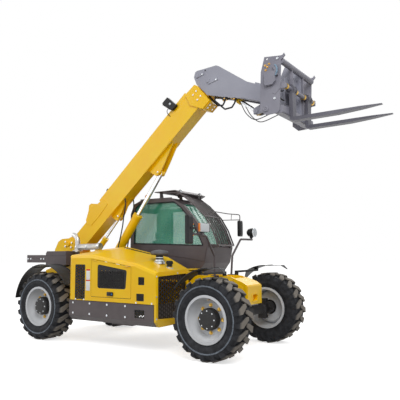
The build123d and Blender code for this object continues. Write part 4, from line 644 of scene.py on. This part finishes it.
bar = joined([block(spot(-913, 0, 1075), (16, 980, 96), 5)] + [block(spot(-899, y, 1075), (30, 26, 60),
    3) for y in (-184, 184)])
settle(bar, "tail_lamp_bar", "chassis", "dark_grey_paint")
for side, word in ((-1, "right"), (1, "left")):
    shell = block(spot(-928, side * 410, 1075), (22, 136, 82), 6)
    settle(shell, "tail_lamp_" + word, "chassis", "lamp_black")
    settle(block(spot(-939, side * 442, 1075), (14, 58, 70), 4), "tail_lens_" + word, "chassis",
        "amber_lens", FITTING["red_lens"])
    settle(block(spot(-939, side * 379, 1075), (14, 58, 70), 4), "tail_indicator_" + word, "chassis",
        "amber_lens")
settle(block(spot(-923, 0, 1075), (5, 250, 70), 2), "blank_rear_plate", "chassis", "light_grey_paint",
    FITTING["white_vinyl"])

# ---------------------------------------------------------------- mirrors
for name, x, y, z, wide, high in (("right", 3040, -898, 1815, 158, 423),
    ("left", 2795, 1040, 1901, 129, 283)):
    glass = block(spot(x + 4, y, z), (4, wide - 18, high - 18), 1.2)
    settle(glass, name + "_mirror_glass", "chassis", "black_plastic", FITTING["mirror"])
bracket = joined([block(spot(3097, -847, 1835), (14, 150, 34), 5),
                  tube([spot(3097, -785, 1835), spot(3094, -785, 1800), spot(3064, -785, 1775),
                      spot(3060, -785, 1752)], 8)])
settle(bracket, "right_mirror_clamp", "chassis", "black_plastic")
markers = [disc(spot(3088, -838, z), AHEAD, 10, 8, 24) for z in (1891, 1728)]
settle(joined(markers), "right_mirror_markers", "chassis", "amber_lens")

# ---------------------------------------------------------------- cab trim
window = [(1050, 1650), (1085, 2300), (1170, 2370), (1960, 2370), (2120, 2260), (2390, 1955), (2570, 1600)]
seal = tube(rounded_line([spot(x, 199, z) for x, z in window]), 10, closed=True)
settle(seal, "side_window_seal", "chassis", "hose_rubber")
pane = [(1316, 1266), (1316, 2274), (1866, 2274), (2060, 2166), (2300, 1908), (2324, 1846), (2324, 1266)]
seal = tube(rounded_line([spot(x, 1030, z) for x, z in pane]), 9, closed=True)
settle(seal, "door_window_seal", "cab_door", "hose_rubber")
screen = [(1962, 2405), (2166, 2292), (2453, 1976), (2604, 1697), (2646, 1562)]
seals = [tube(rounded_line([spot(x, y, z) for x, z in screen])[1:-1], 9) for y in (262, 978)]
settle(joined(seals), "windscreen_seals", "chassis", "hose_rubber")
rear_pane = [spot(966, y, z) for y, z in ((262, 1654), (262, 2246), (978, 2246), (978, 1654))]
settle(tube(rounded_line(rear_pane), 9, closed=True), "rear_window_seal", "chassis", "hose_rubber")
wiper = joined([
    block(spot(2548, 560, 1845), (8, 12, 420), 3, (0, -28.5, 0)),
    tube([spot(2660, 640, 1590), spot(2640, 630, 1680), spot(2590, 590, 1770), spot(2554, 560, 1845)], 6),
    disc(spot(2648, 640, 1585), Vector((0.9, 0, 0.45)), 20, 16)])
settle(wiper, "windscreen_wiper", "chassis", "black_plastic")
settle(block(spot(2300, 1067, 1165), (84, 16, 34), 6), "cab_door_grip", "cab_door", "black_plastic")
studs = [(spot(1340 + 68 * i, y, z), UP) for i in range(11) for y in (900, 950, 1000, 1046) for z in (640,)]
studs += [(spot(1340 + 68 * i, y, 420), UP) for i in range(11) for y in (950, 1000, 1046)]
settle(copied(disc((0, 0, 0), UP, 13, 4, 12), studs), "step_treads", "chassis", "axle_paint")


def cushion(name, centre, size, turn, swell):
    """Foam cushion under cloth: its cover is blown up from a smaller block by the pressure of the foam."""
    pad = block(centre, [length - 2 * swell for length in size], 16, turn)
    select_only(pad)
    skin = pad.modifiers.new("even_faces", "REMESH")
    skin.mode = "VOXEL"
    skin.voxel_size = 0.011
    bpy.ops.object.modifier_apply(modifier=skin.name)
    start = [vertex.co.copy() for vertex in pad.data.vertices]
    cloth = pad.modifiers.new("cover", "CLOTH")
    cloth.settings.use_pressure = True
    cloth.settings.uniform_pressure_force = 4
    cloth.settings.effector_weights.gravity = 0
    for step in range(1, 16):
        bpy.context.scene.frame_set(step)
    bpy.ops.object.modifier_apply(modifier=cloth.name)
    bpy.context.scene.frame_set(1)
    for vertex, place in zip(pad.data.vertices, start):
        moved = vertex.co - place
        if moved.length > swell * MM:
            vertex.co = place + moved.normalized() * swell * MM
    smooth = pad.modifiers.new("smooth", "SUBSURF")
    smooth.levels = 1
    smooth.render_levels = 1
    bpy.ops.object.modifier_apply(modifier=smooth.name)
    settle(pad, name, "chassis", "seat_cloth")
    return pad


squab = cushion("seat_cushion", spot(1555, 640, 1178), (476, 476, 116), (0, -3, 0), 10)
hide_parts("seat")
cushion("seat_backrest", spot(1338, 640, 1468), (104, 436, 500), (0, -6.7, 0), 10)
cushion("seat_headrest", spot(1297, 640, 1795), (66, 236, 138), (0, -4, 0), 7)
for y, word in ((880, "left"), (400, "right")):
    cushion("seat_armrest_" + word, spot(1536, y, 1408), (300, 44, 50), (0, -2, 0), 4)
    post = joined([block(spot(1420, y, 1290), (34, 14, 210), 5),
        block(spot(1420, y, 1195), (90, 12, 50), 5)])
    settle(post, "seat_arm_post_" + word, "chassis", "axle_paint")
piping = joined([
    tube(rounded_line([spot(x, y, 1226 if x < 1500 else 1246) for x,
        y in ((1322, 410), (1786, 410), (1786, 870), (1322, 870))], 0.05),
         5, closed=True),
    tube(rounded_line([spot(x, y, z) for x, y,
        z in ((1418, 430, 1240), (1418, 850, 1240), (1358, 850, 1706), (1358, 430, 1706))], 0.05),
         5, closed=True)])
settle(piping, "seat_piping", "chassis", "seat_cloth")
bellows = joined([block(spot(1560, 640, 830 + 72 * i), (320 - 24 * (i % 2), 360 - 24 * (i % 2), 76),
    22) for i in range(5)])
settle(bellows, "seat_bellows", "chassis", "black_plastic")
stalks = joined([tube([spot(1306, y, 1650), spot(1302, y, 1700), spot(1298, y, 1760)], 6) for y in (590,
    690)])
settle(stalks, "headrest_stalks", "chassis", "chromed_rod")

wheel_axis = Vector((-0.3, 0, 1)).normalized()
wheel_centre = spot(2075, 640, 1440)
rim = turned([(161, 0), (165, 11), (175, 15), (185, 11), (189, 0), (185, -11), (175, -15), (165, -11)],
    wheel_centre, wheel_axis, 56, ring=True)
across = wheel_axis.cross(LEFT).normalized()
spokes = [tube([wheel_centre - wheel_axis * 0.012, wheel_centre + ray * 0.09 - wheel_axis * 0.012,
    wheel_centre + ray * 0.170], 11)
          for ray in (LEFT, -LEFT, across)]
hub = turned([(0, -20), (46, -20), (52, -4), (40, 8), (0, 10)], wheel_centre, wheel_axis)
column = tube([spot(2158, 640, 1150), spot(2119, 640, 1285), spot(2078, 640, 1428)], 34)
bracket = block(spot(2160, 640, 1175), (80, 60, 32), 6)
steering = joined([rim, hub, column, bracket] + spokes)
settle(steering, "steering_wheel_and_column", "chassis", "black_plastic")
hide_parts("steering_wheel")
stick = turned([(0, 0), (11, 0), (10, 46), (20, 58), (25, 84), (20, 106), (8, 114), (0, 114)],
    spot(1960, 315, 1342), Vector((0.12, 0, 1)))
settle(stick, "joystick", "chassis", "black_plastic")

# ---------------------------------------------------------------- boom and head fittings
loop = tube([boom_spot(1198, -30, 96), boom_spot(1246, -34, 118), boom_spot(1282, -42, 190),
    boom_spot(1312, -40, 210),
             boom_spot(1340, -34, 180), boom_spot(1350, -30, 116)], 9)
settle(loop, "boom_hose_loop", "boom", "hose_rubber")
for i, y in enumerate((-112, 112)):
    feed = tube([boom_spot(1560, y, -292), boom_spot(1530, y, -360), boom_spot(1400, y, -470),
        boom_spot(1307, y, -535),
                 boom_spot(1206, y, -631), spot(950, y * 1.1, 1560), spot(850, y * 1.25, 1240), spot(840,
                     y * 1.25, 1000)], 11)
    settle(feed, "boom_feed_hose_%d" % i, None, "hose_rubber")
    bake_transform(feed)

port = joined([block(spot(3205, -88, 3934), (86, 40, 46), 5), block(spot(3385, -88, 3900), (52, 40, 40), 5)])
settle(port, "head_port_block", "inner_boom", "axle_paint")
ports = [(spot(x, -88, 3913), Vector((0, 0, -1))) for x in (3176, 3234)] + [(spot(3205, -108, 3936),
    OUT), (spot(3385, -108, 3900), OUT)]
bolts("head_port_fittings", "inner_boom", "exhaust_steel", 17, 14, ports, "brass")
for i, y in enumerate((-44, 44)):
    hose = tube([spot(3452, y * 1.3, 3862), spot(3500, y * 1.6, 3790), spot(3560, y * 1.9, 3660),
        spot(3650, y * 2, 3560), spot(3740, y * 2, 3505),
                 spot(3850, y * 2, 3520), spot(3980, y * 2, 3560), spot(4150, y * 2, 3610)], 7)
    settle(hose, "tilt_hose_%d" % i, None, "hose_rubber")
    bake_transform(hose)

# ---------------------------------------------------------------- carriage fittings
fittings = [(spot(x, -578, z), OUT) for x, z in ((4178, 4058), (4204, 4100), (4232, 4140), (4172, 4128))]
bolts("plate_couplings", "carriage", "mid_grey_paint", 20, 22, fittings, "brass")
hook = tube([spot(4330, -606, 4098), spot(4352, -606, 4082), spot(4364, -606, 4030),
    spot(4356, -606, 3980), spot(4338, -606, 3946)], 13)
settle(hook, "latch_hook", "carriage", "mid_grey_paint", FITTING["blued_steel"])
bolts("latch_nut", "carriage", "mid_grey_paint", 26, 16, [(spot(4318, -600, 3962), OUT)], "gold_zinc")
sleeve = [turned([(33, -22), (39, -22), (41, -16), (41, 16), (39, 22), (33, 22)], spot(4440, y, 3800),
    LEFT, ring=True)
          for y in (-480, -150, 150, 480)]
settle(joined(sleeve), "shaft_sleeves", "carriage", "fork_black_paint", FITTING["gold_zinc"])
for i, points in enumerate((
    ((4240, -548, 3900), (4285, -520, 3760), (4318, -430, 3668), (4322, -330, 3650), (4310, -220, 3700),
        (4300, -166, 3760)),
    ((4240, -548, 3950), (4290, -500, 3860), (4312, -420, 3780), (4316, -330, 3790), (4306, -230, 3850),
        (4300, -166, 3900)),
    ((4240, 560, 3900), (4285, 520, 3760), (4318, 430, 3668), (4322, 330, 3650), (4310, 220, 3700),
        (4300, 166, 3760)),
)):
    settle(tube([spot(*point) for point in points], 10), "carriage_hose_%d" % i, "carriage", "hose_rubber")
rings = [turned([(61, -9), (66, -9), (66, 9), (61, 9)], spot(4440, side * y, 3800), LEFT,
    ring=True) for side in (-1, 1) for y in (236, 334)]
settle(joined(rings), "fork_eye_rings", "carriage", "fork_black_paint")


# ---------------------------------------------------------------- floor, world and lamps
def add_floor():
    """White floor that glows to the camera and in reflections, so that it stays white far away."""
    bpy.ops.object.select_all(action="DESELECT")
    bpy.ops.mesh.primitive_plane_add(size=120, location=(0, 0, -0.001))
    floor = bpy.context.object
    floor.name = "studio_floor"
    material, tree, shader, place = new_material("white_studio_paper", 0.95)
    fibres = add_node(tree, "TexNoise", {"Vector": place, "Scale": 3000.0})
    colour = add_node(tree, "ValToRGB", {"Fac": fibres.outputs["Fac"]}, ((0.3, "FDFDFD"), (0.7, "FFFFFF")))
    tree.links.new(colour.outputs["Color"], shader.inputs["Base Color"])
    shader.inputs["Specular IOR Level"].default_value = 0.0
    path = add_node(tree, "LightPath")
    seen = add_node(tree, "Math", {0: path.outputs["Is Camera Ray"], 1: path.outputs["Is Glossy Ray"]},
        operation="MAXIMUM")
    seen = add_node(tree, "Math", {0: seen.outputs[0], 1: path.outputs["Is Transmission Ray"]},
        operation="MAXIMUM")
    glow = add_node(tree, "Emission", {"Color": (1, 1, 1, 1), "Strength": 0.62})
    both = add_node(tree, "AddShader", {0: shader.outputs[0], 1: glow.outputs[0]})
    # what it throws back up at the machine is as dull as a yard's ground
    ground = add_node(tree, "BsdfDiffuse", {"Color": (0.3, 0.3, 0.3, 1)})
    mixed = add_node(tree, "MixShader", {0: seen.outputs[0], 1: ground.outputs[0], 2: both.outputs[0]})
    tree.links.new(mixed.outputs[0], tree.nodes["Material Output"].inputs["Surface"])
    floor.data.materials.append(material)


def add_world():
    """White all round to the eye; a little darker as a source of light."""
    world = bpy.data.worlds.new("pale_studio")
    bpy.context.scene.world = world
    world.use_nodes = True
    tree = world.node_tree
    tree.nodes.clear()
    path = add_node(tree, "LightPath")
    seen = add_node(tree, "Math", {0: path.outputs["Is Camera Ray"], 1: path.outputs["Is Glossy Ray"]},
        operation="MAXIMUM")
    seen = add_node(tree, "Math", {0: seen.outputs[0], 1: path.outputs["Is Transmission Ray"]},
        operation="MAXIMUM")
    soft = add_node(tree, "Background", {"Color": (1, 1, 1, 1), "Strength": 0.5})
    white = add_node(tree, "Background", {"Color": (1, 1, 1, 1), "Strength": 1.0})
    mixed = add_node(tree, "MixShader", {0: seen.outputs[0], 1: soft.outputs[0], 2: white.outputs[0]})
    out = add_node(tree, "OutputWorld")
    tree.links.new(mixed.outputs[0], out.inputs["Surface"])


def add_lamp(name, place, size, watts):
    """Square soft box aimed at the middle of the machine."""
    data = bpy.data.lights.new(name, "AREA")
    data.size = size
    data.energy = watts
    lamp = bpy.data.objects.new(name, data)
    bpy.context.scene.collection.objects.link(lamp)
    place = Vector(place)
    lamp.matrix_world = Matrix.Translation(place) @ (Vector((0, 0, 1.5)) - place).to_track_quat("-Z",
        "Y").to_matrix().to_4x4()


add_floor()
add_world()
# soft boxes: name, place, size, watts
for lamp_row in (
    ("key_lamp", (7.0, -7.0, 9.0), 6.0, 620.0),
    ("side_lamp", (-8.0, -7.0, 6.0), 6.0, 230.0),
    ("back_lamp", (-2.0, 9.0, 8.0), 6.0, 300.0),
):
    add_lamp(*lamp_row)

bpy.context.scene.view_settings.view_transform = "Standard"
